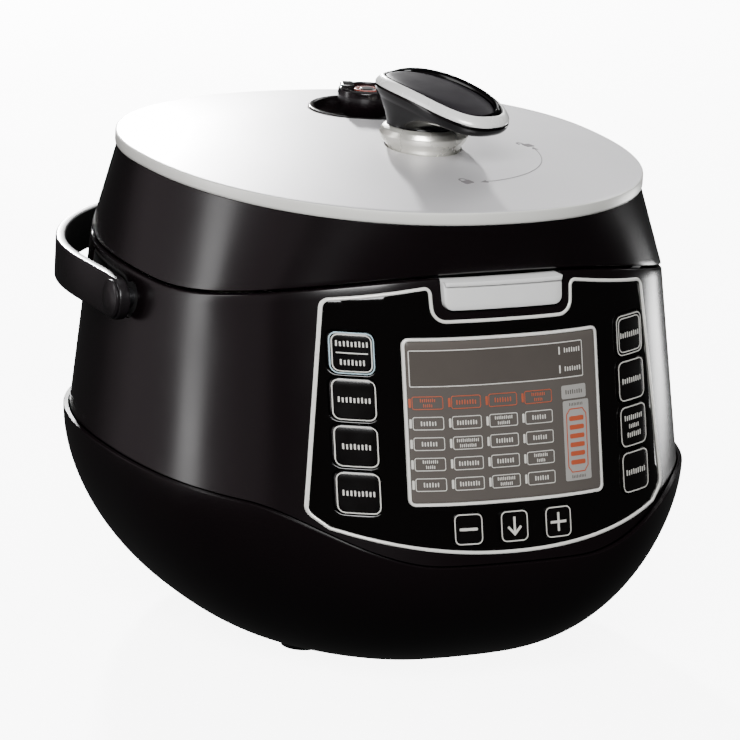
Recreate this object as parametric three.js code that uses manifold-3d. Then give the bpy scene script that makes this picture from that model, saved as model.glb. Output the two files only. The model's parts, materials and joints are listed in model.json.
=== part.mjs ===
// Electric pressure cooker: a rounded black housing with a control panel, a domed silver lid with
// a turning lock lever and a steam valve, and a bail handle that rests behind the housing.
// Millimetres, +Z up, the control panel faces -Y and +X is the user's right hand.
import * as THREE from "three";
import { mergeVertices } from "three/addons/utils/BufferGeometryUtils.js";
import Module from "manifold-3d";

const wasm = await Module();
wasm.setup();

// ---------------------------------------------------------------- driving dimensions
const SEGMENTS = 52; // round the housing
const GAP = 0.35; // between pieces that meet

// The upper wall is a rounded plan that widens on the way down, most of all at the front.
const REFERENCE_HEIGHT = 190;
const HALF_WIDTH = 156.75;
const FRONT_DEPTH = 169.9;
const BACK_DEPTH = 172.2;
const SIDE_SLOPE = 0.098;
const FRONT_SLOPE = 0.236;
const BACK_SLOPE = 0.014;
const FRONT_POWER = 2.45;
const BACK_POWER = 2.3;
const WALL = 3;

// The seam between housing and lid lifts over the control panel.
const SEAM_HEIGHT = 211;
const SEAM_LIFT = 24;
const SEAM_GAP = 1.7;

// The lower shell is a bowl whose top edge dips under the control panel.
const BOWL_EDGE = 108.5;
const BOWL_DIP = 27;
const BOWL_PROUD = 3.4;
const BOWL_WALL = 2.6;
const BOWL_BASE_SCALE = 0.509;
const BOWL_BASE_SHIFT = -15.9;
const FLOOR_CLEARANCE = 4;

// Lid: an egg-shaped rim round a shallow dome.
const RIM = { half: 143.6, front: 180.1, back: 140, centre: 13, power: 2.2 };
const RIM_HEIGHT = 265;
const RIM_BAND = 7;
const DOME_RISE = 14.5;
const DOME_POWER = 1.92;
const COVER_WALL = 2.2;

// Lock lever: an oval with its narrow end at the rear, above a silver collar on the lid.
const KNOB = { x: 0, y: -55, azimuth: 15, neck: 21.3, foot: 296.75 };
const LEVER = { centre: 14, length: 46, width: 24.4, shift: -1.2, taper: -0.06 };
const LEVER_UNDER = { centre: 13, length: 43, width: 22.6, shift: -1.6, taper: -0.08 };
const LEVER_INSET = { centre: 15, length: 39, width: 16.8, shift: -3.6, taper: -0.06 };
const LEVER_POWER = 2.5;
const LEVER_HEIGHT = { middle: 316.64, slope: 0.0701, curve: 0.00184 };
const LEVER_POINTS = 24;

const VALVE = { x: 8, y: 36, turn: -20, well: 34, cap: 17, top: 298.2, recess: 12.5 };
const FLOAT = { x: -34, y: 18, radius: 3, bore: 3.6 };
const HINGE = { y: 150, z: 238, tower: 20, pin: 4, half: 72, cut: 88 };
const BAIL = { y: -12, z: 195, height: 24, thick: 6, pin: 5, pivotGap: 5, backGap: 12.5 };
// Finger pockets behind the bail's ends, each with a boss that holds the bail's pin.
const POCKET = { boss: 9, face: 0.4, floor: 8.5, depth: 10.5, wall: 2.2 };

const POT_RADIUS = 110;
const POT_BOTTOM = 62;
const POT_TOP = 197;
const SHELL_RADIUS = 122;
const WELL_RADIUS = 137; // opening of the collar that the lid seats into

const PANEL_LEAN = Math.atan(FRONT_SLOPE);
const DISPLAY = { half: 58.3, low: 115.3, high: 201.3 };
const SIDE_BUTTON = { x: 85.5, top: 194.5, pitch: 24.7, size: 22.4, rows: 4 };
const LOWER_BUTTON = { pitch: 27.6, z: 101.2, size: 17.2 };
const DECK_HEIGHT = 204;
const PANEL_TRIM = 1.1; // half the width of the trim strip round the panel

const CUP = { half: 28, low: 136, high: 176, depth: 24, wall: 2, face: 0.2 };
const INLET = { half: 25, low: 46, high: 76, back: 172.5, front: 140 };
const FOOT = { x: 66, y: 52, radius: 13 };

// The lever's pinion drives a toothed sector on the locking ring at one fifth of its angle.
const PINION = { teeth: 12, module: 55 / 24, low: 213, high: 218 };
const SECTOR = { teeth: 60, before: 5, after: 3 };

// ---------------------------------------------------------------- materials
function material(color, roughness, metalness) {
  return new THREE.MeshStandardMaterial({ color, roughness, metalness });
}

const blackGloss = () => material(0x0d0b0c, 0.18, 0);
const blackMatte = () => material(0x151415, 0.6, 0);
const charcoal = () => material(0x3a3638, 0.45, 0);
const silverPaint = () => material(0xc9c9cb, 0.35, 0.8);
const satinSilver = () => material(0xd6d3c8, 0.3, 0.9);
const chrome = () => material(0xe2e0da, 0.12, 1);
const lensGrey = () => material(0x55504c, 0.25, 0);
const steel = () => material(0xb9bbbd, 0.28, 1);
const aluminium = () => material(0xa9adb0, 0.4, 1);
const rubber = () => material(0x1b1b1c, 0.8, 0);
const silicone = () => material(0xd9d6cc, 0.6, 0);
const boardGreen = () => material(0x1f5a38, 0.5, 0);
const orange = () => material(0xc8401c, 0.4, 0);

// ---------------------------------------------------------------- geometry helpers
function closeUp(geometry) {
  geometry.deleteAttribute("normal");
  geometry.deleteAttribute("uv");
  return mergeVertices(geometry, 1e-4);
}

function solid(geometry) {
  const closed = closeUp(geometry);
  return new wasm.Manifold(
    new wasm.Mesh({
      numProp: 3,
      vertProperties: new Float32Array(closed.attributes.position.array),
      triVerts: new Uint32Array(closed.index.array),
    }),
  );
}

function geometryOf(manifold) {
  const mesh = manifold.getMesh();
  const geometry = new THREE.BufferGeometry();
  geometry.setAttribute("position", new THREE.BufferAttribute(mesh.vertProperties, 3));
  geometry.setIndex(new THREE.BufferAttribute(mesh.triVerts, 1));
  return geometry;
}

const cut = (base, ...tools) => tools.reduce((body, tool) => body.subtract(tool), base);
const join = (base, ...others) => others.reduce((body, other) => body.add(other), base);

// Triangles that close a ring of points in strips from its first point to the one opposite.
function capTriangles(count) {
  const triangles = [[0, 1, count - 1]];
  for (let i = 1; i < count / 2 - 1; i++) {
    triangles.push([i, i + 1, count - i]);
    triangles.push([i + 1, count - i - 1, count - i]);
  }
  triangles.push([count / 2 - 1, count / 2, count / 2 + 1]);
  return triangles;
}

// Skins equal rings of points from the first to the last, counter-clockwise seen from above
// while they climb. A looped loft joins the last ring to the first; any other gets flat ends.
function loft(rings, looped = false) {
  const count = rings[0].length;
  const positions = rings.flat().flatMap((p) => [p.x, p.y, p.z]);
  const index = [];
  const spans = looped ? rings.length : rings.length - 1;
  for (let k = 0; k < spans; k++) {
    const low = k * count;
    const high = ((k + 1) % rings.length) * count;
    for (let i = 0; i < count; i++) {
      const next = (i + 1) % count;
      index.push(low + i, low + next, high + next);
      index.push(low + i, high + next, high + i);
    }
  }
  if (!looped) {
    const last = (rings.length - 1) * count;
    for (const [a, b, c] of capTriangles(count)) {
      index.push(a, c, b);
      index.push(last + a, last + b, last + c);
    }
  }
  const geometry = new THREE.BufferGeometry();
  geometry.setAttribute("position", new THREE.Float32BufferAttribute(positions, 3));
  geometry.setIndex(index);
  return geometry;
}

function box(low, high) {
  const size = high.map((value, i) => value - low[i]);
  const geometry = new THREE.BoxGeometry(...size);
  geometry.translate(...low.map((value, i) => value + size[i] / 2));
  return geometry;
}

function cylinder(radius, low, high, x = 0, y = 0, sides = 20) {
  const geometry = new THREE.CylinderGeometry(radius, radius, high - low, sides);
  geometry.rotateX(Math.PI / 2);
  geometry.translate(x, y, (low + high) / 2);
  return geometry;
}

function crossCylinder(radius, left, right, y, z, sides = 20) {
  const geometry = new THREE.CylinderGeometry(radius, radius, right - left, sides);
  geometry.rotateZ(Math.PI / 2);
  geometry.translate((left + right) / 2, y, z);
  return geometry;
}

// Turns a closed profile of [radius, height] points about the vertical.
function turned(profile, x = 0, y = 0, sides = 28) {
  const points = profile.map(([radius, height]) => new THREE.Vector2(radius, height));
  const geometry = new THREE.LatheGeometry(points, sides);
  geometry.rotateX(Math.PI / 2);
  geometry.translate(x, y, 0);
  return geometry;
}

const ringProfile = (inner, outer, low, high) => [
  [inner, low],
  [outer, low],
  [outer, high],
  [inner, high],
  [inner, low],
];

function smoothStep(low, high, value) {
  const t = THREE.MathUtils.clamp((value - low) / (high - low), 0, 1);
  return t * t * (3 - 2 * t);
}

// ---------------------------------------------------------------- the rounded plan
function planPoint(plan, angle, z) {
  const sine = Math.sin(angle);
  const cosine = Math.cos(angle);
  const power = 2 / (sine < 0 ? plan.power : (plan.backPower ?? plan.power));
  const x = plan.half * Math.sign(cosine) * Math.abs(cosine) ** power;
  const reach = sine < 0 ? plan.front : plan.back;
  const y = plan.centre + reach * Math.sign(sine) * Math.abs(sine) ** power;
  return new THREE.Vector3(x, y, z);
}

function wallPlan(z, offset = 0) {
  const drop = REFERENCE_HEIGHT - z;
  return {
    half: HALF_WIDTH + SIDE_SLOPE * drop + offset,
    front: FRONT_DEPTH + FRONT_SLOPE * drop + offset,
    back: BACK_DEPTH + BACK_SLOPE * drop + offset,
    centre: 0,
    power: FRONT_POWER,
    backPower: BACK_POWER,
  };
}

function rimPlan(scale, offset = 0) {
  return {
    half: RIM.half * scale + offset,
    front: RIM.front * scale + offset,
    back: RIM.back * scale + offset,
    centre: RIM.centre,
    power: RIM.power,
  };
}

function angles(count = SEGMENTS) {
  return Array.from({ length: count }, (_, i) => (i / count) * 2 * Math.PI);
}

function seamAt(y) {
  const forward = Math.max(0, (-y - 38) / 119);
  return SEAM_HEIGHT + SEAM_LIFT * forward ** 1.9;
}

function bowlEdgeAt(point) {
  const fromFront = THREE.MathUtils.radToDeg(Math.atan2(Math.abs(point.x), -point.y));
  return BOWL_EDGE - BOWL_DIP * (1 - smoothStep(12, 46, fromFront));
}

// One ring on the upper wall at the height that heightOf gives for each point of the plan.
function wallRing(heightOf, offset = 0) {
  return angles().map((angle) => {
    let z = REFERENCE_HEIGHT;
    for (let pass = 0; pass < 3; pass++) z = heightOf(planPoint(wallPlan(z), angle, z));
    return planPoint(wallPlan(z, offset), angle, z);
  });
}

const levelRing = (z, offset) => wallRing(() => z, offset);

// A band of wall between two offsets from the outer surface, over the control panel's height.
function wallSlab(outer, inner, low = 78, high = 250) {
  const rings = [
    levelRing(low, outer),
    levelRing(high, outer),
    levelRing(high, inner),
    levelRing(low, inner),
  ];
  return solid(loft(rings, true));
}

function wallDepth(x, z) {
  const plan = wallPlan(z);
  return -plan.front * (1 - (Math.abs(x) / plan.half) ** plan.power) ** (1 / plan.power);
}

// ---------------------------------------------------------------- outlines on the panel
// Corners are [x, z, radius]; each is rounded with a short curve.
function roundedOutline(corners, divisions = 2) {
  const outline = new THREE.Shape();
  const count = corners.length;
  for (let i = 0; i < count; i++) {
    const [x, z, radius] = corners[i];
    const here = new THREE.Vector2(x, z);
    const before = new THREE.Vector2(...corners[(i + count - 1) % count]).sub(here).setLength(radius);
    const after = new THREE.Vector2(...corners[(i + 1) % count]).sub(here).setLength(radius);
    if (i === 0) outline.moveTo(x + before.x, z + before.y);
    else outline.lineTo(x + before.x, z + before.y);
    if (radius > 0) outline.quadraticCurveTo(x, z, x + after.x, z + after.y);
  }
  outline.closePath();
  return outline.getPoints(divisions).slice(0, -1);
}

function grown(points, distance) {
  const count = points.length;
  return points.map((point, i) => {
    const before = point.clone().sub(points[(i + count - 1) % count]).normalize();
    const after = points[(i + 1) % count].clone().sub(point).normalize();
    const normal = new THREE.Vector2(before.y + after.y, -before.x - after.x).normalize();
    const stretch = Math.max(0.5, normal.dot(new THREE.Vector2(before.y, -before.x)));
    return point.clone().addScaledVector(normal, distance / stretch);
  });
}

// A straight prism of the outline, run from front to back through the wall.
function prism(points, near = -260, far = -90) {
  const geometry = new THREE.ExtrudeGeometry(new THREE.Shape(points), {
    depth: far - near,
    bevelEnabled: false,
  });
  geometry.rotateX(Math.PI / 2);
  geometry.translate(0, far, 0);
  return geometry;
}

function square(size, corner) {
  const half = size / 2;
  const corners = [
    [-half, -half, corner],
    [half, -half, corner],
    [half, half, corner],
    [-half, half, corner],
  ];
  return roundedOutline(corners, 1);
}

function panelOutline() {
  const bottom = [];
  const halfArc = 100;
  const steps = 8;
  for (let i = 0; i <= steps; i++) {
    const x = -halfArc + (2 * halfArc * i) / steps;
    bottom.push([x, 87.6 + 13 * (x / halfArc) ** 2, i % steps ? 0 : 4]);
  }
  return roundedOutline([
    ...bottom,
    [110, 108, 6],
    [98.5, 221.5, 5],
    [43.2, 229.6, 3],
    [42.2, 211.4, 8],
    [-42.2, 211.4, 8],
    [-43.2, 229.6, 3],
    [-98.5, 221.5, 5],
    [-110, 108, 6],
  ]);
}

// A button's own frame on the panel: its place on the wall and its outward direction.
function panelSeat(x, z) {
  const y = wallDepth(x, z);
  const turn = Math.atan((wallDepth(x + 1, z) - wallDepth(x - 1, z)) / 2);
  const seat = new THREE.Matrix4().makeTranslation(x, y, z);
  seat.multiply(new THREE.Matrix4().makeRotationZ(turn));
  seat.multiply(new THREE.Matrix4().makeRotationX(-PANEL_LEAN));
  return seat;
}

function seatPrism(outline, seat, reach = 14) {
  const geometry = prism(outline, -reach, reach);
  geometry.applyMatrix4(seat);
  return solid(geometry);
}

// ---------------------------------------------------------------- model assembly
const cooker = new THREE.Group();
const X_AXIS = new THREE.Vector3(1, 0, 0);
const Y_AXIS = new THREE.Vector3(0, 1, 0);
const Z_AXIS = new THREE.Vector3(0, 0, 1);

function add(name, part, meshMaterial, parent = cooker) {
  const geometry = part instanceof THREE.BufferGeometry ? closeUp(part) : geometryOf(part);
  const mesh = new THREE.Mesh(geometry, meshMaterial);
  mesh.name = name;
  parent.add(mesh);
}

const sideName = (side) => (side < 0 ? "left" : "right");
const solidBox = (low, high) => solid(box(low, high));
const prismSolid = (outline, near, far) => solid(prism(outline, near, far));

// A prism whose outline is drawn looking along -X, in [y, z].
function sidePrism(outline, side) {
  const length = 120;
  const start = side < 0 ? -220 : 100;
  const geometry = new THREE.ExtrudeGeometry(new THREE.Shape(outline), {
    depth: length,
    bevelEnabled: false,
  });
  geometry.applyMatrix4(new THREE.Matrix4().makeBasis(Y_AXIS, Z_AXIS, X_AXIS));
  geometry.translate(start, 0, 0);
  return solid(geometry);
}

// ---------------------------------------------------------------- control panel
function buttonPlaces() {
  const places = [];
  for (const side of [-1, 1]) {
    for (let row = 0; row < SIDE_BUTTON.rows; row++) {
      const x = side * SIDE_BUTTON.x;
      const z = SIDE_BUTTON.top - row * SIDE_BUTTON.pitch;
      const name = `button_${sideName(side)}_${row + 1}`;
      places.push({ name, x, z, size: SIDE_BUTTON.size, corner: 3.2 });
    }
  }
  ["minus", "down", "plus"].forEach((label, i) => {
    const x = (i - 1) * LOWER_BUTTON.pitch;
    const name = `button_${label}`;
    places.push({ name, x, z: LOWER_BUTTON.z, size: LOWER_BUTTON.size, corner: 2.4 });
  });
  return places;
}

function buildPanel(outline) {
  const { half, low, high } = DISPLAY;
  const corners = [
    [-half, low, 2],
    [half, low, 2],
    [half, high, 2],
    [-half, high, 2],
  ];
  const lensOutline = roundedOutline(corners);
  const frameWidth = 1.6;
  const plate = wallSlab(-0.3, -2.5);
  const fasciaBody = prismSolid(grown(outline, -PANEL_TRIM - GAP)).intersect(plate);
  let fascia = cut(fasciaBody, prismSolid(grown(lensOutline, frameWidth + GAP)));
  const capSlab = wallSlab(0.9, -3.4);
  const flangeSlab = wallSlab(-3.3, -4.8);
  for (const place of buttonPlaces()) {
    const seat = panelSeat(place.x, place.z);
    const face = square(place.size, place.corner);
    fascia = cut(fascia, seatPrism(grown(face, GAP), seat));
    const cap = seatPrism(face, seat).intersect(capSlab);
    const flange = seatPrism(grown(face, 1.1), seat).intersect(flangeSlab);
    add(place.name, join(cap, flange), blackGloss());
  }
  add("control_fascia", fascia, blackGloss());

  const trimInside = prismSolid(grown(outline, -PANEL_TRIM));
  const trim = cut(prismSolid(grown(outline, PANEL_TRIM)), trimInside);
  add("fascia_trim", trim.intersect(wallSlab(0.9, -2.7)), chrome());
  const frame = cut(prismSolid(grown(lensOutline, frameWidth)), prismSolid(lensOutline));
  add("display_frame", frame.intersect(wallSlab(0.5, -2.7)), chrome());
  const lens = prismSolid(grown(lensOutline, -GAP));
  add("display_lens", lens.intersect(wallSlab(0, -2.7)), lensGrey());

  const board = box([-62, -1, -46], [62, 1, 46]);
  board.rotateX(-PANEL_LEAN);
  board.translate(0, -150, 154);
  add("control_board", board, boardGreen());
}

// ---------------------------------------------------------------- housing
function bowlRings(levels, offset, lift) {
  return levels.map((level) => {
    const share = (1 - (1 - level) ** 1.862) ** (1 / 1.558);
    return wallRing(bowlEdgeAt, BOWL_PROUD + offset).map((top) => {
      const baseX = top.x * BOWL_BASE_SCALE;
      const baseY = top.y * BOWL_BASE_SCALE + BOWL_BASE_SHIFT;
      const x = THREE.MathUtils.lerp(baseX, top.x, share);
      const y = THREE.MathUtils.lerp(baseY, top.y, share);
      return new THREE.Vector3(x, y, THREE.MathUtils.lerp(FLOOR_CLEARANCE + lift, top.z, level));
    });
  });
}

const windowOutline = () =>
  roundedOutline([
    [-17, 183, 6],
    [60, 182, 8],
    [60, 207, 4],
    [0, 206, 10],
    [-17, 198, 6],
  ]);

function releaseOutline() {
  return roundedOutline([
    [-36, 217.6, 5],
    [36, 217.6, 5],
    [36.5, 233.4, 1.2],
    [-36.5, 233.4, 1.2],
  ]);
}

function cupOutline(shrink = 0, high = CUP.high) {
  const half = CUP.half - shrink;
  const low = CUP.low + shrink;
  const top = high - shrink;
  return roundedOutline([
    [-half, low, 4],
    [half, low, 4],
    [half, top, 4],
    [-half, top, 4],
  ]);
}

// A round bar along the bail's pivot line, on one side of the housing or on both.
function pivotRod(radius, side = 0) {
  const left = side > 0 ? 100 : -220;
  const right = side < 0 ? -100 : 220;
  return solid(crossCylinder(radius, left, right, BAIL.y, BAIL.z));
}

const sideSlab = (outer, inner) => wallSlab(outer, inner, 150, 230);

function buildHousing(panel) {
  const aboveBowl = (rise) => (point) => bowlEdgeAt(point) + rise;
  const seam = (point) => seamAt(point.y) - SEAM_GAP / 2;
  const rings = [
    wallRing(aboveBowl(-6), -6.2),
    wallRing(aboveBowl(0.5), -3.4),
    wallRing(aboveBowl(0.5), 0),
    wallRing(seam, 0),
    wallRing(seam, -WALL),
    wallRing(aboveBowl(14), -WALL),
    wallRing(aboveBowl(5), -WALL - 3.4),
    wallRing(aboveBowl(-6), -9),
  ];
  let housing = solid(loft(rings, true));
  const release = prismSolid(grown(releaseOutline(), 0.5), -200, -120);
  const releaseTop = solidBox([-37, -200, 232], [37, -120, 250]);
  housing = cut(housing, prismSolid(grown(panel, PANEL_TRIM + GAP)), release, releaseTop);
  housing = cut(housing, prismSolid(grown(cupOutline(), 0.4), 120, 220));
  for (const side of [-1, 1]) {
    housing = cut(housing, sidePrism(windowOutline(), side), pivotRod(POCKET.boss + GAP));
    const boss = pivotRod(POCKET.boss, side);
    const outer = join(sidePrism(grown(windowOutline(), -GAP), side), boss);
    const tray = outer.intersect(sideSlab(-POCKET.face, -POCKET.depth));
    const hollow = cut(sidePrism(grown(windowOutline(), -POCKET.wall), side), boss);
    const space = hollow.intersect(sideSlab(5, -POCKET.floor));
    const bore = pivotRod(BAIL.pin + GAP).intersect(sideSlab(5, -POCKET.floor - 0.8));
    add(`bail_pocket_${sideName(side)}`, cut(tray, space, bore), blackMatte());
  }
  add("upper_housing", housing, blackGloss());

  const outside = bowlRings([0, 0.06, 0.2, 0.45, 0.74, 1], 0, 0);
  const inside = bowlRings([0, 0.1, 0.45, 1], -BOWL_WALL, 3);
  const bowl = loft([...outside, ...inside.reverse()]);
  const inletHole = solidBox(
    [-INLET.half - GAP, 120, INLET.low - GAP],
    [INLET.half + GAP, 200, INLET.high + GAP],
  );
  add("lower_shell", cut(solid(bowl), inletHole), blackGloss());

  [[-1, -1], [1, -1], [1, 1], [-1, 1]].forEach(([sideX, sideY], i) => {
    const footTop = FLOOR_CLEARANCE - GAP;
    const foot = [
      [0, 0],
      [FOOT.radius - 1.5, 0],
      [FOOT.radius, 1.2],
      [FOOT.radius, footTop],
      [0, footTop],
    ];
    const footY = BOWL_BASE_SHIFT + sideY * FOOT.y;
    add(`foot_${i + 1}`, turned(foot, sideX * FOOT.x, footY, 18), rubber());
  });

  const collarPlan = wallPlan(DECK_HEIGHT, -WALL - 1.3);
  const well = {
    half: WELL_RADIUS,
    front: WELL_RADIUS,
    back: WELL_RADIUS,
    centre: 0,
    power: 2,
  };
  const collarRing = (plan, z) => angles(44).map((angle) => planPoint(plan, angle, z));
  const deckTop = DECK_HEIGHT + 2.5;
  const collar = solid(
    loft(
      [
        collarRing(collarPlan, DECK_HEIGHT),
        collarRing(collarPlan, deckTop),
        collarRing(well, deckTop),
        collarRing(well, DECK_HEIGHT),
      ],
      true,
    ),
  );
  const trayRoom = [-1, 1].map((side) => {
    return sidePrism(grown(windowOutline(), 1), side).intersect(sideSlab(6, -POCKET.depth - 1));
  });
  const buttonRoom = [-1, 1].map((side) => {
    const x = side * SIDE_BUTTON.x;
    const room = solidBox([x - 15, -180, DECK_HEIGHT - 2], [x + 15, -100, DECK_HEIGHT + 5]);
    return room.intersect(sideSlab(6, -8));
  });
  add("rim_collar", cut(collar, ...trayRoom, ...buttonRoom), blackMatte());
}

function buildCup() {
  const rearSlab = (outer, inner) => wallSlab(outer, inner, 120, 200);
  const body = prismSolid(cupOutline(), 120, 220).intersect(rearSlab(-CUP.face, -CUP.depth));
  const inside = prismSolid(cupOutline(CUP.wall, CUP.high + 20), 120, 220);
  const hollow = inside.intersect(rearSlab(-CUP.face - CUP.wall, CUP.wall - CUP.depth));
  add("condensate_cup", cut(body, hollow), blackGloss());

  const bayBlock = prismSolid(grown(cupOutline(), 2.4), 120, 220);
  const bay = bayBlock.intersect(rearSlab(-WALL - GAP, -CUP.depth - 2.4));
  const room = prismSolid(grown(cupOutline(), 0.5), 120, 220);
  const bayRoom = room.intersect(rearSlab(5, -CUP.depth - 0.5));
  add("cup_bay", cut(bay, bayRoom), blackMatte());
}

function buildInlet() {
  const block = solidBox(
    [-INLET.half, INLET.front, INLET.low],
    [INLET.half, INLET.back, INLET.high],
  );
  const socket = solidBox([-12.5, 155, 52.5], [12.5, 180, 69.5]);
  const pins = [[-7, 58], [0, 64], [7, 58]].map(([x, z]) =>
    solidBox([x - 1, 153, z - 2], [x + 1, 169, z + 2]),
  );
  add("power_inlet", join(cut(block, socket), ...pins), blackMatte());
}

// ---------------------------------------------------------------- pressure vessel and heater
function buildVessel() {
  const shellProfile = [
    [0, 44],
    [117, 44],
    [SHELL_RADIUS, 49],
    [SHELL_RADIUS, 200],
    [SHELL_RADIUS - 2, 200],
    [SHELL_RADIUS - 2, 50],
    [116, 46.2],
    [0, 46.2],
  ];
  add("pressure_shell", turned(shellProfile), steel());

  const flange = solid(turned(ringProfile(SHELL_RADIUS + GAP, 129, 190, 196)));
  const lugs = lugSolids(6, 127, 133.5, 190.5, 195.5, 16);
  add("locking_flange", join(flange, ...lugs), steel());

  add("heating_plate", turned(ringProfile(16, 88, 50, 61.5)), aluminium());
  const sensor = [
    [0, 50.5],
    [14.5, 50.5],
    [14.5, 54],
    [12.5, 54],
    [12.5, 61.5],
    [10.5, 62],
    [0, 62],
  ];
  add("temperature_sensor", turned(sensor, 0, 0, 20), aluminium());

  const potProfile = [
    [0, POT_BOTTOM + 0.4],
    [98, POT_BOTTOM + 0.4],
    [107, POT_BOTTOM + 4],
    [POT_RADIUS, POT_BOTTOM + 12],
    [POT_RADIUS, POT_TOP - 2],
    [117, POT_TOP - 2],
    [117, POT_TOP],
    [POT_RADIUS - 2, POT_TOP],
    [POT_RADIUS - 2, POT_BOTTOM + 13],
    [105.5, POT_BOTTOM + 6],
    [97, POT_BOTTOM + 2.6],
    [0, POT_BOTTOM + 2.6],
  ];
  add("inner_pot", turned(potProfile, 0, 0, 28), aluminium());
  add("power_module", box([-48, -62, 13], [48, 6, 36]), boardGreen());
}

// Blocks spread evenly round the pot's axis between two radii.
function lugSolids(count, inner, outer, low, high, width) {
  return Array.from({ length: count }, (_, i) => {
    const lug = box([inner, -width / 2, low], [outer, width / 2, high]);
    lug.rotateZ(((i + 0.5) / count) * 2 * Math.PI);
    return solid(lug);
  });
}

// ---------------------------------------------------------------- hinge and lid
function buildHinge() {
  const { y, z, tower } = HINGE;
  const profile = [
    [y - tower, 208.2],
    [y + 1, 208.2],
    [y + 1, 210.9],
    [y + 17, 210.9],
    [y + tower, 220],
  ];
  for (let i = 0; i <= 8; i++) {
    const angle = (i / 8) * Math.PI;
    profile.push([y + tower * Math.cos(angle), z + tower * Math.sin(angle)]);
  }
  const outline = profile.map(([py, pz]) => new THREE.Vector2(py, pz));
  const geometry = new THREE.ExtrudeGeometry(new THREE.Shape(outline), {
    depth: 2 * HINGE.half,
    bevelEnabled: false,
  });
  geometry.applyMatrix4(new THREE.Matrix4().makeBasis(Y_AXIS, Z_AXIS, X_AXIS));
  geometry.translate(-HINGE.half, 0, 0);
  const limit = solid(loft([levelRing(200, 1.5), levelRing(270, 1.5)]));
  const bore = solid(crossCylinder(HINGE.pin + GAP, -90, 90, y, z));
  add("hinge_housing", cut(solid(geometry).intersect(limit), bore), blackGloss());
  add("hinge_pin", crossCylinder(HINGE.pin, -86, 86, y, z), steel());
}

function buildLidShell() {
  const seam = (point) => seamAt(point.y) + SEAM_GAP / 2;
  const rimRing = (z, offset) => angles().map((angle) => planPoint(rimPlan(1, offset), angle, z));
  const skirtTop = RIM_HEIGHT - GAP;
  const skirt = solid(
    loft(
      [wallRing(seam, 0), rimRing(skirtTop, -1.2), rimRing(skirtTop, -4.2), wallRing(seam, -WALL)],
      true,
    ),
  );
  const hingeRoom = solidBox([-HINGE.cut, 118, 190], [HINGE.cut, 200, RIM_HEIGHT - 3]);
  add("lid_skirt", cut(skirt, hingeRoom), blackGloss());

  const domeRing = (share, sink) => {
    const height = RIM_HEIGHT + RIM_BAND + DOME_RISE * (1 - share ** DOME_POWER) - sink;
    return angles().map((angle) => planPoint(rimPlan(share), angle, height));
  };
  const outer = [0.96, 0.78, 0.56, 0.3].map((share) => domeRing(share, 0));
  const inner = [0.3, 0.7, 0.93].map((share) => domeRing(share, COVER_WALL));
  const cover = solid(
    loft([
      ...inner,
      rimRing(RIM_HEIGHT + RIM_BAND - 3, -COVER_WALL),
      rimRing(RIM_HEIGHT, -COVER_WALL),
      rimRing(RIM_HEIGHT, -0.6),
      rimRing(RIM_HEIGHT + 1, 0),
      rimRing(RIM_HEIGHT + RIM_BAND - 2, 0),
      ...outer,
    ]),
  );
  const knobHole = solid(cylinder(22, 260, 300, KNOB.x, KNOB.y, 28));
  const valveHole = solid(cylinder(VALVE.well, 260, 300, VALVE.x, VALVE.y, 28));
  add("lid_cover", cut(cover, knobHole, valveHole), silverPaint());

  const wellOuter = VALVE.well - GAP;
  const wellProfile = [
    [7, 274],
    [wellOuter - 6, 274],
    [wellOuter, 279],
    [wellOuter, 286.8],
    [wellOuter - 3, 286.8],
    [wellOuter - 3, 281.5],
    [wellOuter - 7, 276.5],
    [7, 276.5],
    [7, 274],
  ];
  add("valve_well", turned(wellProfile, VALVE.x, VALVE.y, 28), blackGloss());
}

function buildLidInside() {
  const linerTop = 225;
  const linerBottom = 222;
  const linerRing = (z) => angles(44).map((angle) => planPoint(wallPlan(z, -8), angle, z));
  const plate = solid(loft([linerRing(linerBottom), linerRing(linerTop)]));
  const back = solidBox([-200, 118, 200], [200, 220, 240]);
  const latchRoom = solidBox([-42, -200, 200], [42, -128, 240]);
  const holes = [
    cylinder(7, 200, 240, KNOB.x, KNOB.y),
    cylinder(8, 200, 240, VALVE.x, VALVE.y),
    cylinder(FLOAT.bore, 200, 240, FLOAT.x, FLOAT.y, 24),
  ];
  let liner = cut(plate, back, latchRoom, ...holes.map(solid));
  for (const side of [-1, 1]) {
    const near = side < 0 ? -84 : 75;
    const arm = solidBox([near, 96, linerBottom], [near + 9, HINGE.y, 243]);
    const knuckle = solid(crossCylinder(9, near, near + 9, HINGE.y, HINGE.z));
    liner = join(liner, arm, knuckle);
  }
  const bore = solid(crossCylinder(HINGE.pin + GAP, -90, 90, HINGE.y, HINGE.z));
  const latchLip = solidBox([-16, -127.6, 209], [16, -124.6, 223]);
  add("lid_liner", join(cut(liner, bore), latchLip), blackMatte());

  const lidProfile = [
    [0, 208.5],
    [98, 206.9],
    [118, 206.9],
    [118, 209.4],
    [99, 209.4],
    [0, 211],
  ];
  const floatHole = solid(cylinder(FLOAT.bore, 190, 240, FLOAT.x, FLOAT.y, 24));
  add("pressure_lid", cut(solid(turned(lidProfile)), floatHole), steel());
  add("lid_seal", turned(ringProfile(103, 117.4, 197.6, 206.5), 0, 0, 28), silicone());
  const capProfile = [[0, 198], [12, 198], [15, 201], [15, 206.4], [0, 206.4]];
  add("anti_block_cap", turned(capProfile, VALVE.x, VALVE.y, 18), steel());
  add("float_pin", cylinder(FLOAT.radius, 200, 232, FLOAT.x, FLOAT.y, 24), steel());
}

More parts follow.
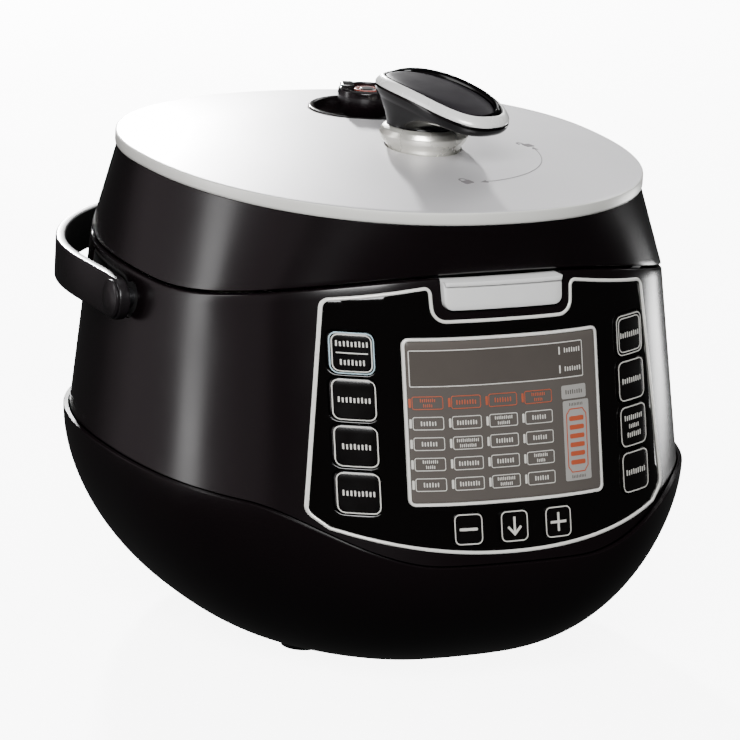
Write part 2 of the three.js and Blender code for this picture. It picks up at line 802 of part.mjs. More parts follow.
// ---------------------------------------------------------------- lock lever and its drive
// An oval in the lever's own frame: u runs to the tip, v to the side away from the user's left.
function leverOval(oval) {
  return angles(LEVER_POINTS).map((angle) => {
    const cosine = Math.cos(angle);
    const sine = Math.sin(angle);
    const power = 2 / LEVER_POWER;
    const along = oval.length * Math.sign(cosine) * Math.abs(cosine) ** power;
    const across = oval.width * Math.sign(sine) * Math.abs(sine) ** power;
    const v = oval.shift + across * (1 - oval.taper * cosine);
    return new THREE.Vector2(oval.centre + along, v);
  });
}

// How far a point of the lever lies towards its crested side, from 0 to 1.
const crestShare = (p) => smoothStep(-10, 16, p.y);

function buildKnob() {
  const knob = new THREE.Group();
  knob.position.set(KNOB.x, KNOB.y, 0);
  knob.rotation.z = THREE.MathUtils.degToRad(KNOB.azimuth - 90);
  cooker.add(knob);

  const collar = [
    [0, 278.2],
    [20.6, 278.2],
    [21, 280],
    [20.9, 284.5],
    [22.5, 287.5],
    [25.2, 290.8],
    [25.2, 292.5],
    [23.6, 295],
    [21.5, 296.4],
    [0, 296.4],
  ];
  add("knob_collar", turned(collar, 0, 0, 28), satinSilver(), knob);

  const neck = angles(LEVER_POINTS).map((angle) => {
    return new THREE.Vector2(KNOB.neck * Math.cos(angle), KNOB.neck * Math.sin(angle));
  });
  const edge = leverOval(LEVER);
  const under = leverOval(LEVER_UNDER);
  const inset = leverOval(LEVER_INSET);
  const between = (from, to, share) => from.map((p, i) => p.clone().lerp(to[i], share));
  const bandEnd = edge.map((p, i) => {
    return p.clone().lerp(inset[i], THREE.MathUtils.lerp(0.8, 0.42, crestShare(p)));
  });
  const bandHeight = (u) => LEVER_HEIGHT.middle - LEVER_HEIGHT.slope * u - LEVER_HEIGHT.curve * u * u;
  const ring = (points, heightOf) => points.map((p) => new THREE.Vector3(p.x, p.y, heightOf(p)));
  const above = (rise, crest = 0) => (p) => bandHeight(p.x) + rise + crest * crestShare(p);

  const shoulder = KNOB.foot + 1.7;
  const hollow = grown(bandEnd, -GAP);
  const pocket = grown(inset, GAP);
  const body = loft([
    ring(neck, () => KNOB.foot),
    ring(neck, () => shoulder),
    ring(between(neck, under, 0.4), (p) => THREE.MathUtils.lerp(shoulder, bandHeight(p.x) - 6.2, 0.45)),
    ring(under, above(-6.2)),
    ring(edge, above(-1.2)),
    ring(edge, above(0)),
    ring(between(edge, bandEnd, 0.15), above(0)),
    ring(hollow, above(2.5)),
    ring(hollow, above(4.7)),
    ring(between(hollow, pocket, 0.5), above(4.9, 2.3)),
    ring(pocket, above(4.7, 0.9)),
    ring(pocket, above(2.9)),
  ]);
  add("knob_body", body, blackGloss(), knob);
  const trim = loft(
    [
      ring(edge, above(0.4)),
      ring(between(edge, bandEnd, 0.3), above(2.6)),
      ring(between(edge, bandEnd, 0.7), above(4.4)),
      ring(bandEnd, above(4.9)),
      ring(bandEnd, above(2.95)),
      ring(between(edge, bandEnd, 0.15), above(0.4)),
    ],
    true,
  );
  add("knob_trim", trim, chrome(), knob);
  const insetPlate = loft([
    ring(inset, above(3.3)),
    ring(inset, above(4.9)),
    ring(grown(inset, -4), above(5.6)),
  ]);
  add("knob_inset", insetPlate, charcoal(), knob);

  const firstTooth = THREE.MathUtils.degToRad(-KNOB.azimuth);
  const pinion = gearOutline(PINION.teeth, PINION.module, firstTooth);
  const pinionBody = new THREE.ExtrudeGeometry(new THREE.Shape(pinion), {
    depth: PINION.high - PINION.low,
    bevelEnabled: false,
  });
  pinionBody.translate(0, 0, PINION.low);
  const shaft = solid(cylinder(5, PINION.high - 1, 277.8, 0, 0, 24));
  add("knob_shaft", join(solid(pinionBody), shaft), steel(), knob);
}

// Straight-flanked teeth round a pinion, the first one centred on the given angle.
function gearOutline(teeth, module, start) {
  const pitchRadius = (teeth * module) / 2;
  const points = [];
  for (let i = 0; i < teeth; i++) {
    const centre = start + (i / teeth) * 2 * Math.PI;
    for (const [radius, halfWidth] of toothSteps(pitchRadius, module, 1)) {
      points.push(toothPoint(radius, centre - halfWidth / radius));
    }
    for (const [radius, halfWidth] of toothSteps(pitchRadius, module, 1).reverse()) {
      points.push(toothPoint(radius, centre + halfWidth / radius));
    }
  }
  return points;
}

// Root and tip of a tooth; outward is 1 on a pinion and -1 on a ring whose teeth point inwards.
function toothSteps(pitchRadius, module, outward) {
  const flank = Math.tan(THREE.MathUtils.degToRad(20));
  const halfPitch = 0.21 * Math.PI * module;
  const addendum = 0.8 * module;
  const dedendum = 1.05 * module;
  return [
    [pitchRadius - outward * dedendum, halfPitch + dedendum * flank],
    [pitchRadius + outward * addendum, halfPitch - addendum * flank],
  ];
}

const toothPoint = (radius, angle) =>
  new THREE.Vector2(radius * Math.cos(angle), radius * Math.sin(angle));

function buildLockingRing() {
  const { low, high } = PINION;
  const ring = solid(turned(ringProfile(97, 112, low, high - 1), 0, 0, 30));
  const lugs = lugSolids(6, 110, 117, low, high - 1, 16);
  const pitchRadius = (SECTOR.teeth * PINION.module) / 2;
  const pitchAngle = (2 * Math.PI) / SECTOR.teeth;
  const points = [];
  const front = -Math.PI / 2;
  for (let i = -SECTOR.before; i < SECTOR.after; i++) {
    const centre = front + (i + 0.5) * pitchAngle;
    for (const [radius, halfWidth] of toothSteps(pitchRadius, PINION.module, -1)) {
      points.push(toothPoint(radius, centre - halfWidth / radius));
    }
    for (const [radius, halfWidth] of toothSteps(pitchRadius, PINION.module, -1).reverse()) {
      points.push(toothPoint(radius, centre + halfWidth / radius));
    }
  }
  const outerRadius = 99;
  for (let i = SECTOR.after; i >= -SECTOR.before; i -= 2) {
    points.push(toothPoint(outerRadius, front + i * pitchAngle));
  }
  const bridge = new THREE.ExtrudeGeometry(new THREE.Shape(points.reverse()), {
    depth: high - low - 1,
    bevelEnabled: false,
  });
  bridge.translate(0, 0, low);
  add("locking_ring", join(ring, solid(bridge), ...lugs), steel());
}

function buildValve() {
  const valve = new THREE.Group();
  valve.position.set(VALVE.x, VALVE.y, 0);
  valve.rotation.z = THREE.MathUtils.degToRad(VALVE.turn);
  cooker.add(valve);
  const { cap, top, recess } = VALVE;
  const recessFloor = top - 2.6;
  const profile = [
    [0, 212],
    [5, 212],
    [6, 214],
    [6, 281.5],
    [cap - 4.5, 281.5],
    [cap - 2, 284],
    [cap - 0.4, 288],
    [cap, 293],
    [cap - 0.2, top - 1.2],
    [cap - 1.4, top],
    [0, top],
  ];
  const tab = solidBox([-cap + 1.5, -5.5, recessFloor - 1], [-recess + 4.5, 5.5, top + 2.4]);
  const recessCut = solid(cylinder(recess, recessFloor, top + 1, 0, 0, 24));
  const body = join(cut(solid(turned(profile, 0, 0, 24)), recessCut), tab);
  add("valve_cap", body, blackGloss(), valve);
  const ringFloor = recessFloor + GAP;
  const markRing = ringProfile(5.4, 7.6, ringFloor, ringFloor + 1.5);
  add("valve_ring", turned(markRing, 0, 0, 20), orange(), valve);
  const plug = [
    [0, ringFloor],
    [5, ringFloor],
    [5, top - 0.8],
    [3.6, top + 0.4],
    [0, top + 0.4],
  ];
  add("valve_plug", turned(plug, 0, 0, 16), blackMatte(), valve);
}

// ---------------------------------------------------------------- release button and bail
function buildRelease() {
  const outline = releaseOutline();
  const face = prismSolid(outline, -200, -120).intersect(wallSlab(2.6, -6));
  const lipBand = solidBox([-50, -200, 230], [50, -120, 240]);
  const lip = prismSolid(outline, -200, -120).intersect(wallSlab(4.4, -2)).intersect(lipBand);
  add("release_button", join(face, lip), satinSilver());
  add("latch_bar", box([-20, -154, 219], [20, -132, 226]), steel());
}

function buildBail() {
  const { thick, height, pivotGap, backGap } = BAIL;
  const endRadius = height / 2;
  const sideX = wallPlan(BAIL.z, pivotGap + thick / 2).half;
  const roundEnd = [0, 25, 50, 75].map((degrees) => {
    const turn = THREE.MathUtils.degToRad(degrees);
    const share = Math.max(0.12, Math.sin(turn));
    return { x: sideX, y: BAIL.y - endRadius * Math.cos(turn), share };
  });
  const places = [...roundEnd];
  const steps = 24;
  for (let i = 0; i <= steps; i++) {
    const angle = (i / steps) * Math.PI;
    const base = planPoint(wallPlan(BAIL.z), angle, 0);
    const gap = THREE.MathUtils.lerp(pivotGap, backGap, smoothStep(0, 80, base.y));
    const point = planPoint(wallPlan(BAIL.z, gap + thick / 2), angle, 0);
    places.push({ x: point.x, y: point.y, share: 1 });
  }
  places.push(...roundEnd.toReversed().map(({ x, y, share }) => ({ x: -x, y, share })));
  const rings = places.map((place, i) => {
    const before = places[Math.max(0, i - 1)];
    const after = places[Math.min(places.length - 1, i + 1)];
    const along = new THREE.Vector3(after.x - before.x, after.y - before.y, 0).normalize();
    const outward = along.clone().cross(Z_AXIS);
    const halfUp = endRadius * place.share;
    const halfOut = thick / 2;
    const soft = Math.min(1.6, halfUp / 2);
    const chamfer = 1.4;
    const section = [
      [halfUp, halfOut - chamfer],
      [halfUp - soft, halfOut],
      [-halfUp + soft, halfOut],
      [-halfUp, halfOut - chamfer],
      [-halfUp, -halfOut + chamfer],
      [-halfUp + soft, -halfOut],
      [halfUp - soft, -halfOut],
      [halfUp, -halfOut + chamfer],
    ];
    return section.map(([up, out]) =>
      new THREE.Vector3(place.x, place.y, BAIL.z + up).addScaledVector(outward, out),
    );
  });
  add("bail_strap", cut(solid(loft(rings)), pivotRod(BAIL.pin + GAP)), blackGloss());

  const outerFace = sideX + thick / 2;
  for (const side of [-1, 1]) {
    const dome = [[0, 0], [10.8, 0], [10.8, 1], [8.5, 2.2], [0, 3]];
    const disc = turned(dome, 0, 0, 20);
    disc.rotateY((side * Math.PI) / 2);
    disc.translate(side * (outerFace + GAP), BAIL.y, BAIL.z);
    add(`bail_cap_${sideName(side)}`, disc, blackGloss());
    const innerEnd = wallPlan(BAIL.z, -POCKET.floor - GAP).half;
    const ends = [side * innerEnd, side * outerFace].sort((a, b) => a - b);
    add(`bail_pin_${sideName(side)}`, crossCylinder(BAIL.pin, ...ends, BAIL.y, BAIL.z), steel());
  }
}

const panel = panelOutline();
buildPanel(panel);
buildHousing(panel);
buildCup();
buildInlet();
buildVessel();
buildHinge();
buildLidShell();
buildLidInside();
buildKnob();
buildLockingRing();
buildValve();
buildRelease();
buildBail();

// The origin is on the floor under the middle of the whole cooker.
const bounds = new THREE.Box3().setFromObject(cooker);
cooker.position.set(0, -(bounds.min.y + bounds.max.y) / 2, 0);

export default cooker;
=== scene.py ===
"""Looks of an electric pressure cooker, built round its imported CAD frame.

Shapes are worked out in millimetres in the cooker's own frame and placed in metres.
"""

import json
import math

import bmesh
import bpy
from mathutils import Matrix, Vector, geometry


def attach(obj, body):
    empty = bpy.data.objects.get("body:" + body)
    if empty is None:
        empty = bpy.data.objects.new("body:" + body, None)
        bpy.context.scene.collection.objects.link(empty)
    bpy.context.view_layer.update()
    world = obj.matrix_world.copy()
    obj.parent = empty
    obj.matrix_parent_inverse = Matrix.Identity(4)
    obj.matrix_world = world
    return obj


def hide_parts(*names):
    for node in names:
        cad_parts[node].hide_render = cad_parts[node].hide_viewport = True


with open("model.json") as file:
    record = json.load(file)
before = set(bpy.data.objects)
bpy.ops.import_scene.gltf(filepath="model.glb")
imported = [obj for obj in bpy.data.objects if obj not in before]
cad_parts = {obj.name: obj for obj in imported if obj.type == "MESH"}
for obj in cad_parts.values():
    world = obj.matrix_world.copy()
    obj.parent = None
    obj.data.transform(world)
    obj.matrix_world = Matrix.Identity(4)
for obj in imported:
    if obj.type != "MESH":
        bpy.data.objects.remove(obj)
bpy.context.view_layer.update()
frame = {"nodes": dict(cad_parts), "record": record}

JOINTS = {joint["name"]: joint for joint in frame["record"]["behaviour"]["joints"]}
HINGE_Y = 150
HINGE_Z = 238
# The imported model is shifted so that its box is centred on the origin.
SHIFT_Y = JOINTS["lid_hinge"]["pos_m"][1] * 1000 - HINGE_Y

# The housing: how it widens downwards at its front, and where its parts meet.
FRONT_SLOPE = 0.236
GAP = 0.35
WALL = 2.6
FOOT_LIFT = 4
BOWL_Y = -15.9
DECK_Z = 204
WELL = 137
HINGE_PIN = 4
HINGE_BORE = 4.35
INLET_Z = 61
# The lid.
RIM_HEIGHT = 265
RIM_BAND = 7
DOME_RISE = 14.5
DOME_POWER = 1.92
COVER_WALL = 2.2
LINER_Z = 222
KNOB = Vector((0, -55, 0))
KNOB_AZIMUTH = 15
VALVE = Vector((8, 36, 0))
VALVE_TURN = -20
DISH_RADIUS = 34
FLOAT = Vector((-34, 18, 0))
ARC_RADIUS = 67
# Ovals of the lock lever: centre, half length, half width, sideways shift, taper.
LEVER_EDGE = (14, 46, 24.4, -1.2, -0.06)
LEVER_UNDER = (13, 43, 22.6, -1.6, -0.08)
LEVER_INSET = (15, 39, 16.8, -3.6, -0.06)
LEVER_POWER = 2.5
LEVER_NECK = 21.3
LEVER_FOOT = 296.75
# The carry bail and the tray beside each of its pivots.
BAIL_Y = -12
BAIL_Z = 195
BAIL_PIN = 5
BAIL_HALF = 12
BAIL_THICK = 6
BAIL_EDGE = 1.3
BOSS = 9
TRAY_WALL = 2.2
# The control panel: places in x and z.
SIDE_BUTTON_X = 85.5
SIDE_BUTTON_TOP = 194.5
SIDE_BUTTON_PITCH = 24.7
LOWER_BUTTON_Z = 101.2
LOWER_BUTTON_PITCH = 27.6
LENS_Z = 158.3
WINDOW = (-3.85, 186.85)
LABEL_LEFT = -47.2
LABEL_TOP = 168.7
LABEL_PITCH = (22, 10.85)
GAUGE = (43.1, 143.2)
GAUGE_TITLE = (42.1, 169.4)
# Points round a large ring, round a middling one and across a curved plate's grid.
AROUND = 224
COARSE = 160
PITCH = 3.2


# ---------------------------------------------------------------- the rounded plan
def clamp(value, low=0.0, high=1.0):
    return max(low, min(high, value))


def mix(a, b, share):
    return a + (b - a) * share


def smooth_step(low, high, value):
    t = clamp((value - low) / (high - low))
    return t * t * (3 - 2 * t)


def signed_power(value, power):
    return math.copysign(abs(value) ** power, value)


def plan_point(plan, angle, z):
    half, front, back, centre, power, back_power = plan
    sine, cosine = math.sin(angle), math.cos(angle)
    exponent = 2 / (power if sine < 0 else back_power)
    reach = front if sine < 0 else back
    x = half * signed_power(cosine, exponent)
    return Vector((x, centre + reach * signed_power(sine, exponent), z))


def wall_plan(z, offset=0.0):
    drop = 190 - z
    half = 156.75 + 0.098 * drop + offset
    front = 169.9 + FRONT_SLOPE * drop + offset
    back = 172.2 + 0.014 * drop + offset
    return half, front, back, 0, 2.45, 2.3


def grown_plan(plan, offset):
    return (*[reach + offset for reach in plan[:3]], *plan[3:])


def rim_plan(scale=1.0, offset=0.0):
    return 143.6 * scale + offset, 180.1 * scale + offset, 140 * scale + offset, 13, 2.2, 2.2


def angles(count=AROUND):
    return [2 * math.pi * i / count for i in range(count)]


def polar(radius, angle, centre=(0, 0)):
    return centre[0] + radius * math.cos(angle), centre[1] + radius * math.sin(angle)


def level_ring(plan, z, count=AROUND):
    return [plan_point(plan, angle, z) for angle in angles(count)]


def seam_at(y):
    return 211 + 24 * max(0, (-y - 38) / 119) ** 1.9


def bowl_edge_at(point):
    from_front = math.degrees(math.atan2(abs(point.x), -point.y))
    return 108.5 - 27 * (1 - smooth_step(12, 46, from_front))


def wall_point(height_of, angle, offset=0.0):
    z = 190
    for _ in range(4):
        z = height_of(plan_point(wall_plan(z), angle, z))
    return plan_point(wall_plan(z, offset), angle, z)


def wall_ring(height_of, offset=0.0, count=AROUND):
    return [wall_point(height_of, angle, offset) for angle in angles(count)]


def panel_point(x, z, offset=0.0):
    half, front, _, _, power, _ = wall_plan(z, offset)
    return Vector((x, -front * (1 - (abs(x) / half) ** power) ** (1 / power), z))


# ---------------------------------------------------------------- meshes
def place(point):
    return Vector((point[0], point[1] + SHIFT_Y, point[2])) / 1000


def mesh_object(name, points, faces, smooth_angle=32):
    mesh = bpy.data.meshes.new(name)
    mesh.from_pydata([place(p) for p in points], [], faces)
    tidy_mesh(mesh, smooth_angle)
    return linked(name, mesh)


def tidy_mesh(mesh, smooth_angle):
    edit = bmesh.new()
    edit.from_mesh(mesh)
    bmesh.ops.remove_doubles(edit, verts=edit.verts, dist=2e-6)
    bmesh.ops.dissolve_degenerate(edit, edges=edit.edges, dist=1e-6)
    bmesh.ops.recalc_face_normals(edit, faces=edit.faces)
    edit.to_mesh(mesh)
    edit.free()
    mesh.polygons.foreach_set("use_smooth", [True] * len(mesh.polygons))
    mesh.set_sharp_from_angle(angle=math.radians(smooth_angle))


def linked(name, data):
    obj = bpy.data.objects.new(name, data)
    bpy.context.scene.collection.objects.link(obj)
    return obj


def ring_faces(rings, count, looped):
    faces = []
    spans = rings if looped else rings - 1
    for k in range(spans):
        low, high = k * count, (k + 1) % rings * count
        for i in range(count):
            after = (i + 1) % count
            faces.append((low + i, low + after, high + after, high + i))
    return faces


def cap_faces(start, count):
    """Closes a ring in strips from its first point to the one opposite."""
    faces = [(start, start + 1, start + count - 1)]
    for i in range(1, count // 2 - 1):
        faces.append((start + i, start + i + 1, start + count - i - 1, start + count - i))
    half = start + count // 2
    faces.append((half - 1, half, half + 1))
    return faces


def loft(name, rings, looped=False, smooth_angle=32):
    """Skins equal rings of points. A looped loft joins the last to the first."""
    count = len(rings[0])
    points = [p for ring in rings for p in ring]
    faces = ring_faces(len(rings), count, looped)
    if not looped:
        faces += cap_faces(0, count) + cap_faces((len(rings) - 1) * count, count)
    return mesh_object(name, points, faces, smooth_angle)


def rounded(corners, closed=True, steps=5):
    """Rounds a flat polyline. Each corner is (u, v) or (u, v, radius)."""
    out = []
    count = len(corners)
    for i, corner in enumerate(corners):
        here = Vector(corner[:2])
        radius = corner[2] if len(corner) > 2 else 0
        if not radius or (not closed and i in (0, count - 1)):
            out.append(here)
            continue
        before = (Vector(corners[i - 1][:2]) - here).normalized()
        after = (Vector(corners[(i + 1) % count][:2]) - here).normalized()
        half = before.angle(after) / 2
        centre = here + (before + after).normalized() * radius / math.sin(half)
        start = here + before * radius / math.tan(half) - centre
        end = here + after * radius / math.tan(half) - centre
        sweep = start.angle(end)
        for k in range(steps + 1):
            t = k / steps
            arc = start * math.sin((1 - t) * sweep) + end * math.sin(t * sweep)
            out.append(centre + arc / math.sin(sweep))
    return out


def lathe(name, profile, centre=(0, 0), sides=96, looped=False, smooth_angle=32, steps=4):
    """Turns (radius, height) or (radius, height, fillet) corners about the vertical."""
    points = []
    outline = rounded(profile, looped, steps)
    for radius, height in outline:
        points += [Vector((*polar(radius, a, centre), height)) for a in angles(sides)]
    return mesh_object(name, points, ring_faces(len(outline), sides, looped), smooth_angle)


def grown(outline, distance):
    out = []
    count = len(outline)
    for i, point in enumerate(outline):
        before = (point - outline[i - 1]).normalized()
        after = (outline[(i + 1) % count] - point).normalized()
        normal = Vector((before.y + after.y, -before.x - after.x)).normalized()
        stretch = max(0.5, normal.dot(Vector((before.y, -before.x))))
        out.append(point + normal * distance / stretch)
    return out


def fine(outline, step=2.5):
    """Adds points along long edges, so that they follow a curved surface."""
    out = []
    for i, point in enumerate(outline):
        after = outline[(i + 1) % len(outline)]
        count = max(1, math.ceil((after - point).length / step))
        out += [point.lerp(after, k / count) for k in range(count)]
    return out


def block(width, height, radius, x=0.0, z=0.0, steps=5):
    w, h = width / 2, height / 2
    corners = [(-w, -h, radius), (w, -h, radius), (w, h, radius), (-w, h, radius)]
    return [p + Vector((x, z)) for p in rounded(corners, True, steps)]


def inside(point, outline):
    hit = False
    for i, a in enumerate(outline):
        b = outline[i - 1]
        if (a.y > point.y) != (b.y > point.y):
            if point.x < (b.x - a.x) * (point.y - a.y) / (b.y - a.y) + a.x:
                hit = not hit
    return hit


def grid_points(outline, holes, pitch):
    """Points spread inside an outline, so that a curved face follows its surface."""
    near = pitch * 0.3
    keep = grown(outline, -near)
    barred = [grown(hole, near) for hole in holes]
    xs, zs = [p.x for p in outline], [p.y for p in outline]
    points = []
    x = min(xs) + pitch / 2
    while x < max(xs):
        z = min(zs) + pitch / 2
        while z < max(zs):
            point = Vector((x, z))
            if inside(point, keep) and not any(inside(point, hole) for hole in barred):
                points.append(point)
            z += pitch
        x += pitch
    return points


def fill(outline, holes, pitch):
    """Triangles inside an outline and outside its holes."""
    points, edges = [], []
    for loop in [outline, *holes]:
        start = len(points)
        points += loop
        edges += [(start + i, start + (i + 1) % len(loop)) for i in range(len(loop))]
    if pitch:
        points += grid_points(outline, holes, pitch)
    made = geometry.delaunay_2d_cdt(points, edges, [], 0, 1e-7)
    verts, triangles = made[0], []
    for a, b, c in made[2]:
        middle = (verts[a] + verts[b] + verts[c]) / 3
        if inside(middle, outline) and not any(inside(middle, hole) for hole in holes):
            triangles.append((a, b, c))
    return verts, triangles


def draped(name, shapes, front, back, pitch=0.0, edge=0.0, smooth_angle=32, lift=panel_point):
    """Plates laid on the panel's surface between two offsets, with an eased front edge.

    Each shape is (outline, holes) in x and z.
    """
    points, faces = [], []
    for rough_outline, rough_holes in shapes:
        outline = fine(rough_outline)
        holes = [fine(hole) for hole in rough_holes]
        shrunk = grown(outline, -edge) if edge else outline
        opened = [grown(hole, edge) for hole in holes] if edge else holes
        for loops, offset in (((shrunk, opened), front), ((outline, holes), back)):
            verts, triangles = fill(*loops, pitch)
            start = len(points)
            points += [lift(p.x, p.y, offset) for p in verts]
            faces += [tuple(start + i for i in triangle) for triangle in triangles]
        for small, full in zip([shrunk, *opened], [outline, *holes]):
            levels = [(small, front)]
            if edge:
                middle = [mix(a, b, 0.7) for a, b in zip(small, full)]
                levels += [(middle, front - edge * 0.3), (full, front - edge)]
            levels.append((full, back))
            start = len(points)
            for loop, offset in levels:
                points += [lift(p.x, p.y, offset) for p in loop]
            for quad in ring_faces(len(levels), len(full), False):
                faces.append(tuple(start + i for i in quad))
    return mesh_object(name, points, faces, smooth_angle)


def draped_band(name, outline, section, smooth_angle=40, lift=panel_point):
    """A strip of a given (across, up) section that follows an outline on the panel."""
    rings = []
    path = fine(outline)
    for across, up in section:
        rings.append([lift(p.x, p.y, up) for p in grown(path, across)])
    return loft(name, rings, True, smooth_angle)


def boolean(obj, *tools, operation="DIFFERENCE", smooth_angle=32):
    for tool in tools:
        modifier = obj.modifiers.new("cut", "BOOLEAN")
        modifier.object = tool
        modifier.operation = operation
        modifier.solver = "EXACT"
    graph = bpy.context.evaluated_depsgraph_get()
    mesh = bpy.data.meshes.new_from_object(obj.evaluated_get(graph))
    obj.modifiers.clear()
    obj.data = mesh
    tidy_mesh(mesh, smooth_angle)
    for tool in tools:
        bpy.data.objects.remove(tool)
    return obj


def join(obj, *tools):
    return boolean(obj, *tools, operation="UNION")


def overlap(obj, tool):
    return boolean(obj, tool, operation="INTERSECT")


def prism(name, outline, near, far, along="y"):
    """A straight prism of an outline: (x, z) run along y, or (y, z) run along x."""
    rings = []
    for depth in (near, far):
        if along == "y":
            rings.append([Vector((p.x, depth, p.y)) for p in outline])
        else:
            rings.append([Vector((depth, p.x, p.y)) for p in outline])
    count = len(outline)
    points = rings[0] + rings[1]
    faces = ring_faces(2, count, False)
    faces += [tuple(range(count)), tuple(range(count, 2 * count))]
    return mesh_object(name, points, faces)


def cuboid(name, low, high):
    outline = [Vector((low[0], low[2])), Vector((high[0], low[2]))]
    outline += [Vector((high[0], high[2])), Vector((low[0], high[2]))]
    return prism(name, outline, low[1], high[1])


def drill(name, radius, low, high, centre, sides):
    """An upright rod that cuts a round hole."""
    return lathe(name, [(0, low), (radius, low), (radius, high), (0, high)], centre, sides)


def cross_rod(name, radius, left, right, y, z, sides=64):
    outline = [Vector(polar(radius, a, (y, z))) for a in angles(sides)]
    return prism(name, outline, left, right, "x")


def hinge_rod(name, radius, left, right, sides=48):
    return cross_rod(name, radius, left, right, HINGE_Y, HINGE_Z, sides)


def bail_rod(name, radius, ends, sides=64):
    return cross_rod(name, radius, *sorted(ends), BAIL_Y, BAIL_Z, sides)


def eased(obj, width, segments=2, limit=35):
    """Rounds a piece's sharp edges."""
    modifier = obj.modifiers.new("ease", "BEVEL")
    modifier.width = width / 1000
    modifier.segments = segments
    modifier.limit_method = "ANGLE"
    modifier.angle_limit = math.radians(limit)
    modifier.harden_normals = True
    modifier.use_clamp_overlap = True
    return obj


# ---------------------------------------------------------------- materials
def srgb(*values):
    return tuple(((v / 255 + 0.055) / 1.055) ** 2.4 if v > 10 else v / 255 / 12.92 for v in values)


def set_inputs(node, **values):
    """Sets a node's inputs. An underscore in a name stands for a space."""
    for socket, value in values.items():
        node.inputs[socket.replace("_", " ")].default_value = value


def surface(name, color, rough, grain, metallic=0.0, tint=0.12, stretch=(1, 1, 1), **constants):
    """A finish whose roughness, tone and relief vary.

    rough is (lowest, highest, scale of its patches), grain is (scale, height in mm).
    """
    material = bpy.data.materials.new(name)
    material.use_nodes = True
    nodes, links = material.node_tree.nodes, material.node_tree.links
    shader = nodes["Principled BSDF"]
    set_inputs(shader, Metallic=metallic, **constants)
    place_node = nodes.new("ShaderNodeTexCoord")
    mapping = nodes.new("ShaderNodeMapping")
    set_inputs(mapping, Scale=stretch)
    links.new(place_node.outputs["Object"], mapping.inputs["Vector"])

    def noise(scale, detail):
        node = nodes.new("ShaderNodeTexNoise")
        set_inputs(node, Scale=scale, Detail=detail)
        links.new(mapping.outputs["Vector"], node.inputs["Vector"])
        return node.outputs["Fac"]

    patches = noise(rough[2], 5)
    spread = nodes.new("ShaderNodeMapRange")
    set_inputs(spread, From_Min=0.3, From_Max=0.7, To_Min=rough[0], To_Max=rough[1])
    links.new(patches, spread.inputs["Value"])
    links.new(spread.outputs["Result"], shader.inputs["Roughness"])

    tone = nodes.new("ShaderNodeMix")
    tone.data_type = "RGBA"
    darker, lighter = [c * (1 - tint) for c in color], [min(1, c * (1 + tint)) for c in color]
    set_inputs(tone, A=(*darker, 1), B=(*lighter, 1))
    links.new(noise(rough[2] * 2.3, 3), tone.inputs["Factor"])
    links.new(tone.outputs["Result"], shader.inputs["Base Color"])

    bump = nodes.new("ShaderNodeBump")
    set_inputs(bump, Strength=1, Distance=grain[1] / 1000)
    links.new(noise(grain[0], 2), bump.inputs["Height"])
    links.new(bump.outputs["Normal"], shader.inputs["Normal"])
    return material


def ink_surface(name, *color):
    return surface(name, srgb(*color), (0.35, 0.5, 80), (1500, 0.002), tint=0.05)


GLOSS_BLACK = surface("gloss_black", (0.004, 0.0024, 0.003), (0.19, 0.26, 14), (900, 0.0012), IOR=1.48)
PANEL_BLACK = surface("panel_black", (0.0018, 0.0014, 0.0014), (0.05, 0.1, 18), (700, 0.0006), IOR=1.5)
BUTTON_BLACK = surface("button_black", (0.003, 0.0025, 0.0025), (0.12, 0.2, 40), (1400, 0.002), IOR=1.5)
KNOB_BLACK = surface("knob_black", (0.0016, 0.0014, 0.0016), (0.08, 0.13, 30), (800, 0.001), IOR=1.33)
STRAP_BLACK = surface("strap_black", (0.009, 0.0075, 0.0085), (0.27, 0.35, 40), (1200, 0.002), IOR=1.42)
DOME_SILVER = surface(
    "dome_silver", (0.7, 0.69, 0.705), (0.4, 0.48, 9), (2600, 0.0035), metallic=0.5, tint=0.03,
)
RIM_SILVER = surface(
    "rim_silver", (0.92, 0.92, 0.87), (0.34, 0.42, 30), (1800, 0.002), metallic=0.2, tint=0.03,
)
TRIM_SILVER = surface(
    "trim_silver", (0.93, 0.92, 0.87), (0.26, 0.36, 60), (1500, 0.002), metallic=0.15, tint=0.03,
)
CHAMPAGNE = surface(
    "champagne_satin", (0.82, 0.81, 0.74), (0.24, 0.3, 45), (1600, 0.002), metallic=0.7, tint=0.04,
)
RELEASE_SILVER = surface(
    "release_silver", (0.9, 0.9, 0.89), (0.3, 0.38, 35), (2200, 0.003), metallic=0.15, tint=0.03,
)
BAND_SILVER = surface(
    "band_silver", (0.93, 0.93, 0.91), (0.22, 0.3, 60), (1500, 0.002), metallic=0.15, tint=0.02,
)
CHARCOAL = surface("charcoal_satin", (0.02, 0.018, 0.021), (0.36, 0.44, 60), (1500, 0.002), IOR=1.1)
LENS_GREY = surface("lens_grey", srgb(90, 85, 81), (0.16, 0.26, 22), (900, 0.0012), tint=0.06)
LENS_SHADE = surface("lens_shade", srgb(80, 75, 71), (0.14, 0.22, 22), (900, 0.0012), tint=0.08)
PRINT_CREAM = ink_surface("print_cream", 218, 216, 209)
PRINT_GREY = ink_surface("print_grey", 160, 158, 154)
PRINT_ORANGE = ink_surface("print_orange", 176, 84, 56)
PRINT_BLUE = ink_surface("print_blue", 176, 206, 218)
DOME_PRINT = ink_surface("dome_print", 120, 116, 118)
MATTE_BLACK = surface("matte_black", (0.014, 0.0135, 0.014), (0.42, 0.6, 30), (1300, 0.02))
# Painted shade: a darker, near-matte black for the bail strap's inner faces, which lie in shade.
PAINTED_SHADE_BLACK = surface("painted_shade_black", (0.003, 0.003, 0.003), (0.6, 0.8, 30), (1300, 0.02), IOR=1.15)
RUBBER = surface("black_rubber", (0.02, 0.02, 0.021), (0.65, 0.85, 50), (1700, 0.03))
